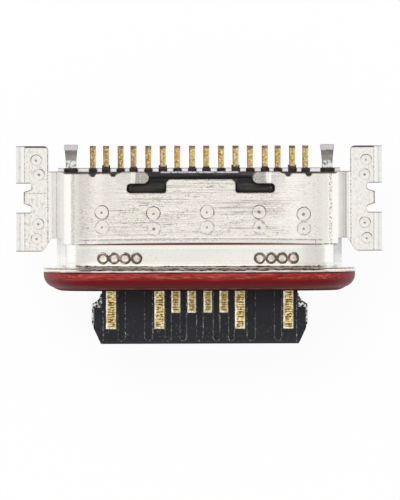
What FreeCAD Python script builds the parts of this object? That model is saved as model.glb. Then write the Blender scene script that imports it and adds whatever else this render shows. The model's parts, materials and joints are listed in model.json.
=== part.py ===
"""A waterproof USB-C socket with a bare tongue, sunk into the edge of a circuit board.

Millimetres. X runs across the socket and Z up, away from the board. The plug leaves along -Y
and the solder tails point to +Y. The origin is the centre of the mouth, on the front of the seal.
"""

import FreeCAD, Part
import math
import os

# Mouth, and the sheets that lie round it like onion skins
mouth_width = 8.34
mouth_height = 2.56
sleeve_wall = 0.12
mouth_chamfer = 0.05
collar_wall = 0.13
cover_thickness = 0.16
bracket_thickness = 0.12
slip = 0.01                   # room between two sheets or a sheet and the moulding inside it

# Lengths along the plug's way, from the front of the seal
sleeve_end = 3.00
flange_front = 0.58
collar_end = 2.90
cover_front = 1.42
cover_bow = 0.04              # how far the middle of the front edge stands back
cover_rear = 3.62
side_front = 1.62             # edges of the cover's sides, from the step outwards
side_rear = 3.69
side_step = 0.34              # from the cover's outermost side in to the step
comb_rear = 3.80
comb_bend = 0.06
comb_rise = 0.05              # how far the comb stands above the insulator's blocks
comb_lap = 0.20               # of the comb's foot on the bracket

# Seal and flange, measured outwards from the sleeve and the collar
seal_reach = 0.55
seal_land = 0.12              # straight stretch at the back of the seal
seal_nose = 0.105             # where the round back of the seal meets its flatter front
seal_nose_drop = 0.29         # from the seal's outside in to that place
seal_back_bulge = 0.062
seal_front_bulge = 0.015
flange_reach = 0.41
flange_bend = 0.12

# Ears that lie on the board, and the pegs that go through it
ear_bend = 0.08
ear_reach = 1.09              # from the side of the cover to the outside of a peg
ear_corner = 0.15
ear_slant = 0.25              # of the front corner, across the socket
ear_gap = 0.02                # between the bend's foot and the ear's inner rear edge
peg_bend = 0.08
peg_depth = 0.83              # below the board's face
peg_shoulder = 0.14
peg_step = 0.10
peg_tip = 0.13
front_tab = (1.21, 2.42)
middle_tab = (2.61, 3.14)
middle_tab_slope = 0.08
rear_tab = (3.32, 4.48)
tab_notch = 0.24              # how far the notches between the tabs reach in from the bend
notch_corner = 0.06
bracket_inset = 0.06

# Cut-outs and tabs in the rear of the cover
land_half = 1.06
land_rear = 3.44
land_corner = 0.15
slot_front = 3.02
slot_rear = 3.31
slot_end = 2.28
slot_corner = 0.12
slot_land_corner = 0.09
lock_hinge = 2.18
lock_tip = 1.60
lock_rear = 3.67
lock_land = 0.24              # of the cover's edge that stands as far back as the tab
lock_slope = 0.10             # across the socket, from that edge to the cover's rear
lock_root = 0.04
lock_bend = 0.05
lock_angle = 45.0
lock_drop = 0.12
lock_corner = 0.17
notch_places = (2.69, 3.32)
notch_half = 0.11
notch_floor_half = 0.05
notch_depth = 0.09
coin_length = 0.18
coin_depth = 0.05
coin_half = 3.55

# Tongue
tongue_tip = 1.66             # in front of the seal
tongue_thickness = 0.70
tongue_half = 3.30
tongue_tip_half = 3.07
tongue_corner = 0.50          # length of the slanted tip corners
neck_half = 3.035
latch_front = 0.53            # in front of the seal, like the three below
latch_slope_front = 0.43
latch_knee_front = 0.30       # where the slope turns outwards
latch_slope_rear = 0.10
latch_root = 0.03             # of the slope that stands proud of the neck, like the knee below
latch_knee = 0.11
latch_knee_bend = 0.25
latch_corner = 0.06
nose_bevel = 0.10
root_start = 2.15
root_half = 3.52
root_corner = 0.12
root_thickness = 1.14
back_wall = 2.78

# Insulator behind the tongue
shoulder_rear = 3.45
shoulder_flat = 0.10
step_height = 0.42
block_half = 0.125
block_taper = 0.03            # of a block's plan at each side, towards its rear
leg_block_half = 0.215
block_height = 0.26           # above the board's face
short_block_rear = 3.80
long_block_rear = 3.84
sill_rear = 3.89              # of the low sills beside some of the tails
carrier_front = 1.15          # in front of the seal
carrier_half = 2.93
carrier_skin = 0.08           # of the insulator in front of the carriers' thick part
carrier_block_half = 3.40
carrier_block_top = 0.47
carrier_rear = 3.22

# Contacts: where a pad lies on the tongue, and where its tail lies on the board
pin_places = (0.25, 0.75, 1.25, 2.75)
upper_tails = (0.68, 1.58, 2.44, 3.30)
lower_tails = (0.22, 1.13, 2.04, 2.89)
upper_names = ("a7", "a8", "a9", "a12")
upper_left_names = ("a6", "a5", "a4", "a1")
lower_names = ("b6", "b5", "b4", "b1")
lower_left_names = ("b7", "b8", "b9", "b12")
sill_tails = (1.13, 2.89)
long_pins = (1.25, 2.75)
long_pad_half = 0.165
short_pad_half = 0.14
long_pad_tip = 1.20           # in front of the seal
short_pad_tip = 0.70
contact_thickness = 0.12
pad_bevel = 0.04
fan_start = 2.45
fan_end = 3.21
tail_half = 0.082
tail_tip_half = 0.095
tail_end = 4.487
tail_bevel = 0.11
tail_bevel_share = 0.6        # of the sheet that the bevel leaves standing at the tip
jog_angle = 48.0
jog_bend = 0.05
jog_end = 3.64

# Shallow channels that the mould leaves between the pads
channel_places = (0.0, 0.515, 0.98, 1.59, 2.425)
channel_widths = (0.19, 0.19, 0.17, 0.24, 0.21)
channel_tip = 1.56
channel_depth = 0.04
channel_corner_share = 0.55   # of a channel's half width that its corners take

# Plate in the middle of the tongue: latch edges in front, solder legs behind
plate_thickness = 0.15
plate_half = 3.35
plate_front = 1.06            # where its bare edge begins, in front of the seal
plate_nose = 1.30
plate_inset = 0.08            # of its hidden edges inside the neck
plate_shoulder = 2.95
plate_bridge = 0.30           # depth of the bar that joins the legs
leg_place = 3.98
leg_half = 0.165
leg_corner = 0.10
leg_flare_start = 4.02
leg_foot_half = 0.195
leg_toe_half = 0.215
leg_foot_length = 0.18
leg_toe_length = 0.13
leg_toe_corner = 0.04
leg_slope = 12.0
leg_end = 4.525

# Worked out from the sizes above
mouth_radius = mouth_height / 2
spine = mouth_width / 2 - mouth_radius
sleeve_radius = mouth_radius + sleeve_wall
collar_inside = sleeve_radius + slip
collar_radius = collar_inside + collar_wall
cover_inside = collar_radius + slip
cover_radius = cover_inside + cover_thickness
bracket_radius = cover_inside + bracket_thickness
board_face = -bracket_thickness
cover_half = spine + cover_radius
peg_outside = cover_half + ear_reach
peg_fold = peg_outside - peg_bend - cover_thickness
insulator_radius = cover_inside - 2 * slip
tongue_half_height = tongue_thickness / 2
far = 20.0                    # longer than the socket, for cutters
spare = 0.1                   # how far a cutter runs past what it cuts


def vec(x, y, z):
    return FreeCAD.Vector(x, y, z)


def place(plane, u, v):
    """A point of a drawing in one of the three main planes."""
    if plane == "XY":
        return vec(u, v, 0)
    if plane == "XZ":
        return vec(u, 0, v)
    return vec(0, u, v)


def push(face, plane, start, end):
    """Extrudes a drawing from start to end, square to its plane."""
    way = {"XY": vec(0, 0, 1), "XZ": vec(0, 1, 0), "YZ": vec(1, 0, 0)}[plane]
    moved = face.copy()
    moved.translate(way * start)
    return moved.extrude(way * (end - start))


def rounded(corners, plane):
    """A face from its corners, (u, v) or (u, v, radius) where the corner is rounded."""
    spots = [(place(plane, c[0], c[1]), c[2] if len(c) > 2 else 0.0) for c in corners]
    edges = []
    joins = []
    for i, (corner, radius) in enumerate(spots):
        before = spots[i - 1][0]
        after = spots[(i + 1) % len(spots)][0]
        if radius == 0:
            joins.append((corner, corner, corner))
            continue
        into = (before - corner).normalize()
        out = (after - corner).normalize()
        half_angle = math.acos(max(-1.0, min(1.0, into.dot(out)))) / 2
        length = radius / math.tan(half_angle)
        middle_way = (into + out).normalize()
        middle = corner + middle_way * (radius / math.sin(half_angle) - radius)
        joins.append((corner + into * length, middle, corner + out * length))
    for i, (first, middle, last) in enumerate(joins):
        if (last - first).Length > 1e-7:
            edges.append(Part.Arc(first, middle, last).toShape())
        following = joins[(i + 1) % len(joins)][0]
        if (following - last).Length > 1e-7:
            edges.append(Part.makeLine(last, following))
    return Part.Face(Part.Wire(edges))


def strip(start, heading, moves, thickness, plane):
    """Section of a bent sheet, followed along its middle. A move is a length, or an angle and
    the radius inside the bend; a positive angle turns left."""
    half = thickness / 2
    here = start
    angle = math.radians(heading)
    left = []
    right = []

    def beside(point, way, side):
        return place(plane, point[0] - math.sin(way) * side, point[1] + math.cos(way) * side)

    for move in moves:
        if isinstance(move, tuple):
            turn = math.radians(move[0])
            hand = 1 if turn > 0 else -1
            radius = move[1] + half
            reach = radius * hand
            centre = (here[0] - math.sin(angle) * reach, here[1] + math.cos(angle) * reach)

            def on_arc(way):
                return (centre[0] + math.sin(way) * reach, centre[1] - math.cos(way) * reach)

            middle = angle + turn / 2
            last = angle + turn
            for side, edges in ((half, left), (-half, right)):
                spots = [beside(on_arc(way), way, side) for way in (angle, middle, last)]
                edges.append(Part.Arc(*spots).toShape())
            here = on_arc(last)
            angle = last
        else:
            there = (here[0] + math.cos(angle) * move, here[1] + math.sin(angle) * move)
            for side, edges in ((half, left), (-half, right)):
                edges.append(Part.makeLine(beside(here, angle, side), beside(there, angle, side)))
            here = there
    first_cap = Part.makeLine(left[0].Vertexes[0].Point, right[0].Vertexes[0].Point)
    last_cap = Part.makeLine(left[-1].Vertexes[-1].Point, right[-1].Vertexes[-1].Point)
    edges = Part.__sortEdges__(left + right + [first_cap, last_cap])
    return Part.Face(Part.Wire(edges))


def other_side(shape):
    return shape.mirror(vec(0, 0, 0), vec(1, 0, 0))


def both_sides(shape):
    return shape.fuse(other_side(shape))


def turned_over(shape):
    return shape.mirror(vec(0, 0, 0), vec(0, 0, 1))


def obround(radius, start, end):
    """A block whose outline keeps one distance from the mouth's straight middle line."""
    reach = spine + radius
    corners = ((-reach, -radius), (reach, -radius), (reach, radius), (-reach, radius))
    outline = rounded([(u, v, radius) for u, v in corners], "XZ")
    return push(outline, "XZ", start, end)


def around_mouth(profile):
    """Carries a profile, drawn in the YZ plane above the middle line, once round the mouth."""
    straight = push(profile, "YZ", -spine, spine)
    below = straight.copy()
    below.rotate(vec(0, 0, 0), vec(0, 1, 0), 180)
    end = profile.copy()
    end.translate(vec(spine, 0, 0))
    end = end.revolve(vec(spine, 0, 0), vec(0, 1, 0), 180)
    return straight.fuse([below, end, other_side(end)]).removeSplitter()


def box(x0, x1, y0, y1, z0, z1):
    return Part.makeBox(x1 - x0, y1 - y0, z1 - z0, vec(x0, y0, z0))


def bowed(first, last, bulge):
    """An arc in the YZ plane between two points, which stands off its chord by bulge."""
    chord = place("YZ", *last) - place("YZ", *first)
    aside = vec(0, chord.z, -chord.y).normalize()
    middle = place("YZ", *first) + chord / 2 + aside * bulge
    return Part.Arc(place("YZ", *first), middle, place("YZ", *last)).toShape()


def seal_ring():
    """Silicone ring: round at the back edge, with a flatter front that runs down to the sleeve."""
    inside = sleeve_radius + slip
    outside = sleeve_radius + seal_reach
    rear = flange_front - slip
    nose = (seal_nose, outside - seal_nose_drop)
    spots = [(0, inside), (rear, inside), (rear, outside), (rear - seal_land, outside)]
    outline = [
        Part.makeLine(place("YZ", *first), place("YZ", *last))
        for first, last in zip(spots, spots[1:])
    ]
    outline.append(bowed(spots[-1], nose, seal_back_bulge))
    outline.append(bowed(nose, spots[0], seal_front_bulge))
    return around_mouth(Part.Face(Part.Wire(Part.__sortEdges__(outline))))


def inner_sleeve():
    """Seamless tube that guides the plug."""
    wall = rounded(
        [
            (mouth_chamfer, mouth_radius),
            (sleeve_end, mouth_radius),
            (sleeve_end, sleeve_radius),
            (0, sleeve_radius),
            (0, mouth_radius + mouth_chamfer),
        ],
        "YZ",
    )
    return around_mouth(wall)


def flange_collar():
    """Drawn collar, turned out at the front into the flange that backs the seal."""
    middle = collar_radius - collar_wall / 2
    run = collar_end - flange_front - collar_wall - flange_bend
    reach = flange_reach - flange_bend
    wall = strip((collar_end, middle), 180, [run, (-90, flange_bend), reach], collar_wall, "YZ")
    return around_mouth(wall)


def ear_sheet(thickness, rest):
    """Section of a sheet that lies over the right half of the collar, bends out above the board
    and runs on as the given moves say."""
    large = cover_inside + thickness / 2
    small = ear_bend + thickness / 2
    turn = math.degrees(math.acos((thickness + ear_bend) / (large + small)))
    moves = [spine, (-turn, cover_inside), (turn, ear_bend)] + rest
    return strip((0, large), 0, moves, thickness, "XZ")


def bend_foot(thickness):
    """Where the bend at the foot of such a sheet ends."""
    reach = cover_inside + thickness + ear_bend
    return spine + math.sqrt(reach ** 2 - (thickness + ear_bend) ** 2)


def cover_plan():
    """Top cover seen from above, right half."""
    step = cover_half - side_step
    foot = bend_foot(cover_thickness) + ear_gap
    notch = peg_fold - tab_notch
    wide = peg_outside + spare
    corners = [
        (0, cover_front),
        (step, cover_front, 0.03),
        (step, side_front),
        (cover_half, side_front, ear_bend),
        (cover_half + ear_slant, front_tab[0], ear_corner),
        (wide, front_tab[0]),
        (wide, front_tab[1]),
        (notch, front_tab[1], notch_corner),
        (notch, middle_tab[0], notch_corner),
        (peg_fold, middle_tab[0] + middle_tab_slope),
        (peg_fold, middle_tab[1] - middle_tab_slope),
        (notch, middle_tab[1], notch_corner),
        (notch, rear_tab[0], notch_corner),
        (wide, rear_tab[0]),
        (wide, rear_tab[1]),
        (foot, rear_tab[1], ear_corner),
        (foot, side_rear),
        (step, side_rear),
        (step - lock_slope, cover_rear),
    ]
    for middle in reversed(notch_places):
        corners += [
            (middle + notch_half, cover_rear),
            (middle + notch_floor_half, cover_rear - notch_depth),
            (middle - notch_floor_half, cover_rear - notch_depth),
            (middle - notch_half, cover_rear),
        ]
    corners += [
        (lock_hinge + lock_land + lock_slope, cover_rear),
        (lock_hinge + lock_land, lock_rear),
        (lock_hinge, lock_rear),
        (lock_hinge, slot_rear),
        (slot_end, slot_rear, slot_corner),
        (slot_end, slot_front, slot_corner),
        (land_half, slot_front, slot_land_corner),
        (land_half, land_rear, land_corner),
        (0, land_rear),
    ]
    return rounded(corners, "XY")


def peg_view():
    """Top cover seen from the side: all above the board, and the two pegs below it."""
    tip = board_face - peg_depth
    corners = [(front_tab[0] - spare, far), (front_tab[0] - spare, -slip)]
    for first, last in (front_tab, rear_tab):
        corners += [
            (first - slip, -slip),
            (first - slip, board_face),
            (first + peg_shoulder, board_face - peg_step),
            (first + peg_shoulder, tip + peg_tip),
            (first + peg_shoulder + peg_tip, tip),
            (last - peg_shoulder - peg_tip, tip),
            (last - peg_shoulder, tip + peg_tip),
            (last - peg_shoulder, board_face - peg_step),
            (last + slip, board_face),
            (last + slip, -slip),
        ]
    corners += [(rear_tab[1] + spare, -slip), (rear_tab[1] + spare, far)]
    return rounded(corners, "YZ")


def lock_tab():
    """Tab set down in a double bend at the rear of the cover, hinged along the plug's way."""
    bend = 2 * (lock_bend + cover_thickness / 2)
    turn = math.radians(lock_angle)
    slope = max(slip, (lock_drop - bend * (1 - math.cos(turn))) / math.sin(turn))
    jog = bend * math.sin(turn) + slope * math.cos(turn)
    moves = [
        lock_root,
        (lock_angle, lock_bend),
        slope,
        (-lock_angle, lock_bend),
        lock_hinge - lock_tip - jog,
    ]
    start = (lock_hinge + lock_root, cover_inside + cover_thickness / 2)
    section = strip(start, 180, moves, cover_thickness, "XZ")
    plan = rounded(
        [
            (lock_tip, slot_rear, lock_corner),
            (lock_hinge + spare, slot_rear),
            (lock_hinge + spare, lock_rear),
            (lock_tip, lock_rear, lock_corner),
        ],
        "XY",
    )
    tab = push(section, "XZ", slot_rear, lock_rear)
    return tab.common(push(plan, "XY", -far, far))


def top_cover():
    """Stamped cover: a half shell over the collar, ears on the board and pegs folded down."""
    ear = peg_fold - bend_foot(cover_thickness)
    drop = peg_depth - board_face - peg_bend
    section = ear_sheet(cover_thickness, [ear, (-90, peg_bend), drop])
    sheet = push(section, "XZ", front_tab[0], rear_tab[1])
    sheet = sheet.common(push(cover_plan(), "XY", -far, far))
    sheet = sheet.common(push(peg_view(), "YZ", -far, far))
    sheet = both_sides(sheet.fuse(lock_tab())).removeSplitter()
    bow_radius = (coin_half ** 2 + cover_bow ** 2) / (2 * cover_bow)
    bow = Part.makeCylinder(bow_radius, far, vec(0, cover_front + cover_bow - bow_radius, 0))
    bow = bow.common(box(-coin_half, coin_half, cover_front - spare, cover_front + spare, 0, far))
    coin = rounded(
        [
            (cover_front - spare, cover_radius + spare),
            (cover_front - spare, cover_radius - coin_depth),
            (cover_front, cover_radius - coin_depth),
            (cover_front + coin_length, cover_radius),
            (cover_front + coin_length, cover_radius + spare),
        ],
        "YZ",
    )
    return sheet.cut(bow).cut(push(coin, "YZ", -coin_half, coin_half))


def bracket_plan():
    """Bottom bracket seen from above, right half: the cover's outline, a little smaller."""
    side = spine + bracket_radius
    step = side - side_step
    foot = bend_foot(bracket_thickness) + ear_gap + bracket_inset
    outer = peg_fold - bracket_inset
    notch = peg_fold - tab_notch - bracket_inset
    front = front_tab[0] + bracket_inset
    rear = side_rear - bracket_inset
    corners = [
        (0, cover_front + bracket_inset),
        (step, cover_front + bracket_inset),
        (step, side_front + bracket_inset),
        (side, side_front + bracket_inset, ear_bend),
        (side + ear_slant + bracket_inset, front),
        (outer, front),
        (outer, front_tab[1] - bracket_inset),
        (notch, front_tab[1] - bracket_inset),
        (notch, rear_tab[0] + bracket_inset),
        (outer, rear_tab[0] + bracket_inset),
        (outer, rear_tab[1] - bracket_inset),
        (foot, rear_tab[1] - bracket_inset, ear_corner),
        (foot, rear),
        (0, rear),
    ]
    return rounded(corners, "XY")


def comb_gaps(room):
    """Where the tails and legs leave through the comb wall, each with its half width."""
    gaps = [(x, block_half + room) for x in upper_tails + lower_tails]
    gaps.append((leg_place, leg_block_half + room))
    return gaps


def bottom_bracket():
    """Stamped bracket: a half shell under the collar, ears below the cover's ears, and a comb
    wall turned up behind the insulator."""
    ear = peg_fold - bend_foot(bracket_thickness)
    section = ear_sheet(bracket_thickness, [ear])
    sheet = push(section, "XZ", front_tab[0], rear_tab[1])
    sheet = sheet.common(push(bracket_plan(), "XY", -far, far))
    sheet = turned_over(both_sides(sheet))
    wall_front = comb_rear - bracket_thickness
    floor = -cover_inside - bracket_thickness / 2
    top = board_face + block_height + comb_rise
    start = side_rear - comb_lap
    run = wall_front - comb_bend - start
    moves = [run, (90, comb_bend), top + cover_inside - comb_bend]
    fold = strip((start, floor), 0, moves, bracket_thickness, "YZ")
    wall = obround(cover_inside - comb_bend, wall_front, comb_rear)
    wall = wall.cut(box(-far, far, -far, far, top, far))
    fold_half = spine - 2 * bracket_thickness
    sheet = sheet.fuse([push(fold, "YZ", -fold_half, fold_half), wall])
    gap_floor = board_face - contact_thickness - slip
    gaps = [
        box(x - half, x + half, wall_front - slip, comb_rear + slip, gap_floor, far)
        for x, half in comb_gaps(slip)
    ]
    return sheet.cut(gaps + [other_side(gap) for gap in gaps]).removeSplitter()


def contact(pin, tail, level, pad_half, pad_tip):
    """One contact, pad on the tongue at X=pin and tail on the board at X=tail. Its plan fans out
    behind the tongue and its side view steps to the board."""
    plan = rounded(
        [
            (pin - pad_half, -pad_tip),
            (pin + pad_half, -pad_tip),
            (pin + pad_half, fan_start),
            (tail + tail_half, fan_end),
            (tail + tail_tip_half, tail_end),
            (tail - tail_tip_half, tail_end),
            (tail - tail_half, fan_end),
            (pin - pad_half, fan_start),
        ],
        "XY",
    )
    tail_level = board_face + contact_thickness / 2
    drop = abs(level - tail_level)
    turn = math.radians(jog_angle)
    bend = 2 * (jog_bend + contact_thickness / 2)
    slope = (drop - bend * (1 - math.cos(turn))) / math.sin(turn)
    jog_length = bend * math.sin(turn) + slope * math.cos(turn)
    hand = -1 if level > tail_level else 1
    moves = [
        jog_end - jog_length + pad_tip,
        (hand * jog_angle, jog_bend),
        slope,
        (-hand * jog_angle, jog_bend),
        tail_end - jog_end,
    ]
    side = strip((-pad_tip, level), 0, moves, contact_thickness, "YZ")
    metal = push(plan, "XY", -far, far).common(push(side, "YZ", -far, far))
    metal = bevel_pad(metal, pin, level, pad_half, pad_tip)
    top = board_face + contact_thickness
    wedge = rounded(
        [
            (tail_end - tail_bevel, top),
            (tail_end, top - (1 - tail_bevel_share) * contact_thickness),
            (tail_end + spare, top - (1 - tail_bevel_share) * contact_thickness),
            (tail_end + spare, top + spare),
            (tail_end - tail_bevel, top + spare),
        ],
        "YZ",
    )
    return metal.cut(push(wedge, "YZ", -far, far))


def bevel_cutter(edge, face, up, plane):
    """Drawing of what a bevel takes off a pad's edge, which lies at edge and at the height face."""
    return rounded(
        [
            (edge - pad_bevel, face),
            (edge, face - up * pad_bevel),
            (edge + slip, face - up * pad_bevel),
            (edge + slip, face + up * slip),
            (edge - pad_bevel, face + up * slip),
        ],
        plane,
    )


def bevel_pad(metal, pin, level, pad_half, pad_tip):
    """Bevels the bare face of a pad along its tip and sides."""
    up = 1 if level > 0 else -1
    face = up * tongue_half_height
    across = bevel_cutter(pin + pad_half, face, up, "XZ")
    right = push(across, "XZ", -pad_tip - spare, root_start + carrier_skin / 2)
    left = right.mirror(vec(pin, 0, 0), vec(1, 0, 0))
    along = bevel_cutter(pad_tip, face, up, "YZ").mirror(vec(0, 0, 0), vec(0, 1, 0))
    tip = push(along, "YZ", pin - pad_half - spare, pin + pad_half + spare)
    return metal.cut([right, left, tip])


def pad_rooms():
    """Room in the tongue for each whole pad, so that its bevels lie bare."""
    rooms = []
    for pin in pin_places:
        half = long_pad_half if pin in long_pins else short_pad_half
        tip = long_pad_tip if pin in long_pins else short_pad_tip
        rear = root_start + carrier_skin / 2
        floor = tongue_half_height - pad_bevel
        room = box(pin - half, pin + half, -tip, rear, floor, tongue_half_height)
        rooms += [room, turned_over(room)]
    return rooms + [other_side(room) for room in rooms]


def contacts():
    """All sixteen contacts by name, the upper row and then the lower."""
    made = {}
    depth = tongue_half_height - contact_thickness / 2
    rows = (
        (depth, upper_tails, upper_names, upper_left_names),
        (-depth, lower_tails, lower_names, lower_left_names),
    )
    for level, tails, right_names, left_names in rows:
        for pin, tail, right, left in zip(pin_places, tails, right_names, left_names):
            is_long = pin in long_pins
            half = long_pad_half if is_long else short_pad_half
            tip = long_pad_tip if is_long else short_pad_tip
            made["contact_" + right] = contact(pin, tail, level, half, tip)
            made["contact_" + left] = other_side(made["contact_" + right])
    return made


def mid_plate():
    """Stamped plate between the two rows: its edges latch the plug, its legs are soldered."""
    hidden = neck_half - plate_inset
    leg = [
        (leg_half, leg_flare_start),
        (leg_foot_half, leg_end - leg_foot_length),
        (leg_toe_half, leg_end - leg_toe_length),
        (leg_toe_half, leg_end, leg_toe_corner),
    ]
    outline = [
        (0, -plate_nose),
        (hidden, -plate_nose),
        (plate_half, -plate_front),
        (plate_half, -latch_slope_front, latch_corner),
        (neck_half + latch_knee, -latch_knee_front, latch_knee_bend),
        (neck_half + latch_root, -latch_slope_rear),
        (hidden, -latch_slope_rear),
        (hidden, plate_shoulder),
        (leg_place + leg_half, plate_shoulder, leg_corner),
    ]
    outline += [(leg_place + corner[0],) + corner[1:] for corner in leg]
    outline += [(leg_place - corner[0],) + corner[1:] for corner in reversed(leg)]
    outline += [
        (leg_place - leg_half, plate_shoulder + plate_bridge),
        (0, plate_shoulder + plate_bridge),
    ]
    plan = rounded(outline, "XY")
    level = board_face + plate_thickness / 2
    turn = math.radians(leg_slope)
    bend = 2 * (jog_bend + plate_thickness / 2) * (1 - math.cos(turn))
    slope = max(0.0, abs(level) - bend) / math.sin(turn)
    start = plate_shoulder + plate_bridge + 2 * slip
    moves = [start + plate_nose, (-leg_slope, jog_bend), slope, (leg_slope, jog_bend), leg_end]
    side = strip((-plate_nose, 0), 0, moves, plate_thickness, "YZ")
    plate = push(plan, "XY", -far, far).common(push(side, "YZ", -far, far))
    return both_sides(plate).removeSplitter()


def carrier():
    """Moulding that holds the upper row of contacts above the middle plate, without pockets."""
    inner = plate_thickness / 2
    core_top = tongue_half_height - contact_thickness
    core = box(-carrier_half, carrier_half, -carrier_front, carrier_rear, inner, core_top)
    half = carrier_block_half
    start = root_start + carrier_skin
    block = box(-half, half, start, carrier_rear, inner, carrier_block_top)
    return core.fuse(block).removeSplitter()


def tongue_form():
    """The bare tongue: its plan with latch notches, cut to a bevelled nose."""
    plan = rounded(
        [
            (0, -tongue_tip),
            (tongue_tip_half, -tongue_tip, 0.04),
            (tongue_half, -tongue_tip + tongue_corner, 0.05),
            (tongue_half, -latch_front, 0.03),
            (neck_half, -latch_front, 0.03),
            (neck_half, back_wall + spare),
            (0, back_wall + spare),
        ],
        "XY",
    )
    half = tongue_half_height
    side = rounded(
        [
            (-tongue_tip, half - nose_bevel),
            (-tongue_tip + nose_bevel, half),
            (back_wall + spare, half),
            (back_wall + spare, -half),
            (-tongue_tip + nose_bevel, -half),
            (-tongue_tip, -half + nose_bevel),
        ],
        "YZ",
    )
    tongue = push(plan, "XY", -half, half).common(push(side, "YZ", -far, far))
    return both_sides(tongue).removeSplitter()


def channels():
    """Cutters for the shallow channels between the pads, on both faces of the tongue."""
    cutters = []
    floor = tongue_half_height - channel_depth
    for middle, width in zip(channel_places, channel_widths):
        half = width / 2
        corner = channel_corner_share * half
        plan = rounded(
            [
                (middle - half, -channel_tip + corner),
                (middle - half + corner, -channel_tip),
                (middle + half - corner, -channel_tip),
                (middle + half, -channel_tip + corner),
                (middle + half, root_start),
                (middle - half, root_start),
            ],
            "XY",
        )
        upper = push(plan, "XY", floor, tongue_half_height + spare)
        group = [upper, turned_over(upper)]
        cutters += group
        if middle > 0:
            cutters += [other_side(piece) for piece in group]
    return cutters


def jog_windows():
    """Windows in the insulator's rear, in which the tails and legs step down to the board."""
    rear = jog_end + slip
    windows = []
    tail_top = board_face + contact_thickness + slip
    for tails, bottom, top in (
        (upper_tails, board_face - slip, tongue_half_height + slip),
        (lower_tails, -tongue_half_height - slip, tail_top),
    ):
        for x in tails:
            half = tail_tip_half + slip
            windows.append(box(x - half, x + half, carrier_rear, rear, bottom, top))
    half = leg_half + slip
    top = plate_thickness / 2 + slip
    windows.append(box(leg_place - half, leg_place + half, carrier_rear, rear, board_face - slip, top))
    return windows + [other_side(window) for window in windows]


def tail_blocks():
    """Blocks of the insulator that stand in the comb wall's gaps, round the tails and legs."""
    spots = [(x, block_half, short_block_rear) for x in upper_tails]
    spots += [(x, block_half, long_block_rear) for x in lower_tails]
    spots.append((leg_place, leg_block_half, short_block_rear))
    bottom = board_face - contact_thickness
    blocks = []
    for x, half, rear in spots:
        narrow = half - block_taper
        plan = rounded(
            [
                (x - half, shoulder_rear),
                (x + half, shoulder_rear),
                (x + half, comb_rear - bracket_thickness / 2),
                (x + narrow, rear),
                (x - narrow, rear),
                (x - half, comb_rear - bracket_thickness / 2),
            ],
            "XY",
        )
        blocks.append(push(plan, "XY", bottom, board_face + block_height))
    for x in sill_tails:
        top = board_face + contact_thickness
        blocks.append(box(x - block_half, x + block_half, shoulder_rear, sill_rear, bottom, top))
    return blocks + [other_side(block) for block in blocks]


def insulator(held):
    """Moulding of the tongue and the wall behind it, round everything that it holds."""
    half = root_thickness / 2
    root = rounded(
        [
            (root_half, root_start, root_corner),
            (root_half, back_wall + spare),
            (-root_half, back_wall + spare),
            (-root_half, root_start, root_corner),
        ],
        "XY",
    )
    root = push(root, "XY", -half, half)
    plug = obround(mouth_radius - slip, back_wall, sleeve_end + spare)
    shoulder = obround(insulator_radius, sleeve_end + slip, shoulder_rear)
    top = cover_inside - shoulder_flat
    shoulder = shoulder.common(box(-far, far, -far, far, -far, top))
    rear_face = comb_rear - bracket_thickness - slip
    rear = obround(insulator_radius - comb_bend, shoulder_rear - spare, rear_face)
    rear = rear.common(box(-far, far, -far, far, -far, step_height))
    relief = lock_relief()
    body = tongue_form().fuse([root, plug, shoulder, rear] + tail_blocks())
    body = body.cut(channels() + jog_windows() + [relief, other_side(relief)])
    return body.cut(held + pad_rooms()).removeSplitter()


def lock_relief():
    """Shallow pocket in the insulator's shoulder, in which a lock tab lies."""
    start = lock_tip - 2 * slip
    end = lock_hinge + lock_root
    floor = cover_inside - lock_drop - slip
    return box(start, end, slot_rear - slip, shoulder_rear + spare, floor, far)


os.makedirs("parts", exist_ok=True)
pins = contacts()
plate = mid_plate()
upper = carrier()
lower = turned_over(upper)
upper_held = upper.cut(list(pins.values()) + [plate])
lower_held = lower.cut(list(pins.values()) + [plate])
nodes = {
    "seal_ring": seal_ring(),
    "inner_sleeve": inner_sleeve(),
    "flange_collar": flange_collar(),
    "top_cover": top_cover(),
    "bottom_bracket": bottom_bracket(),
    "tongue_insulator": insulator(list(pins.values()) + [plate, upper, lower]),
    "upper_contact_carrier": upper_held,
    "lower_contact_carrier": lower_held,
    "mid_plate": plate,
}
nodes.update(pins)
for name, shape in nodes.items():
    shape.exportStep("parts/" + name + ".step")
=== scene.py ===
import json
import math

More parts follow.
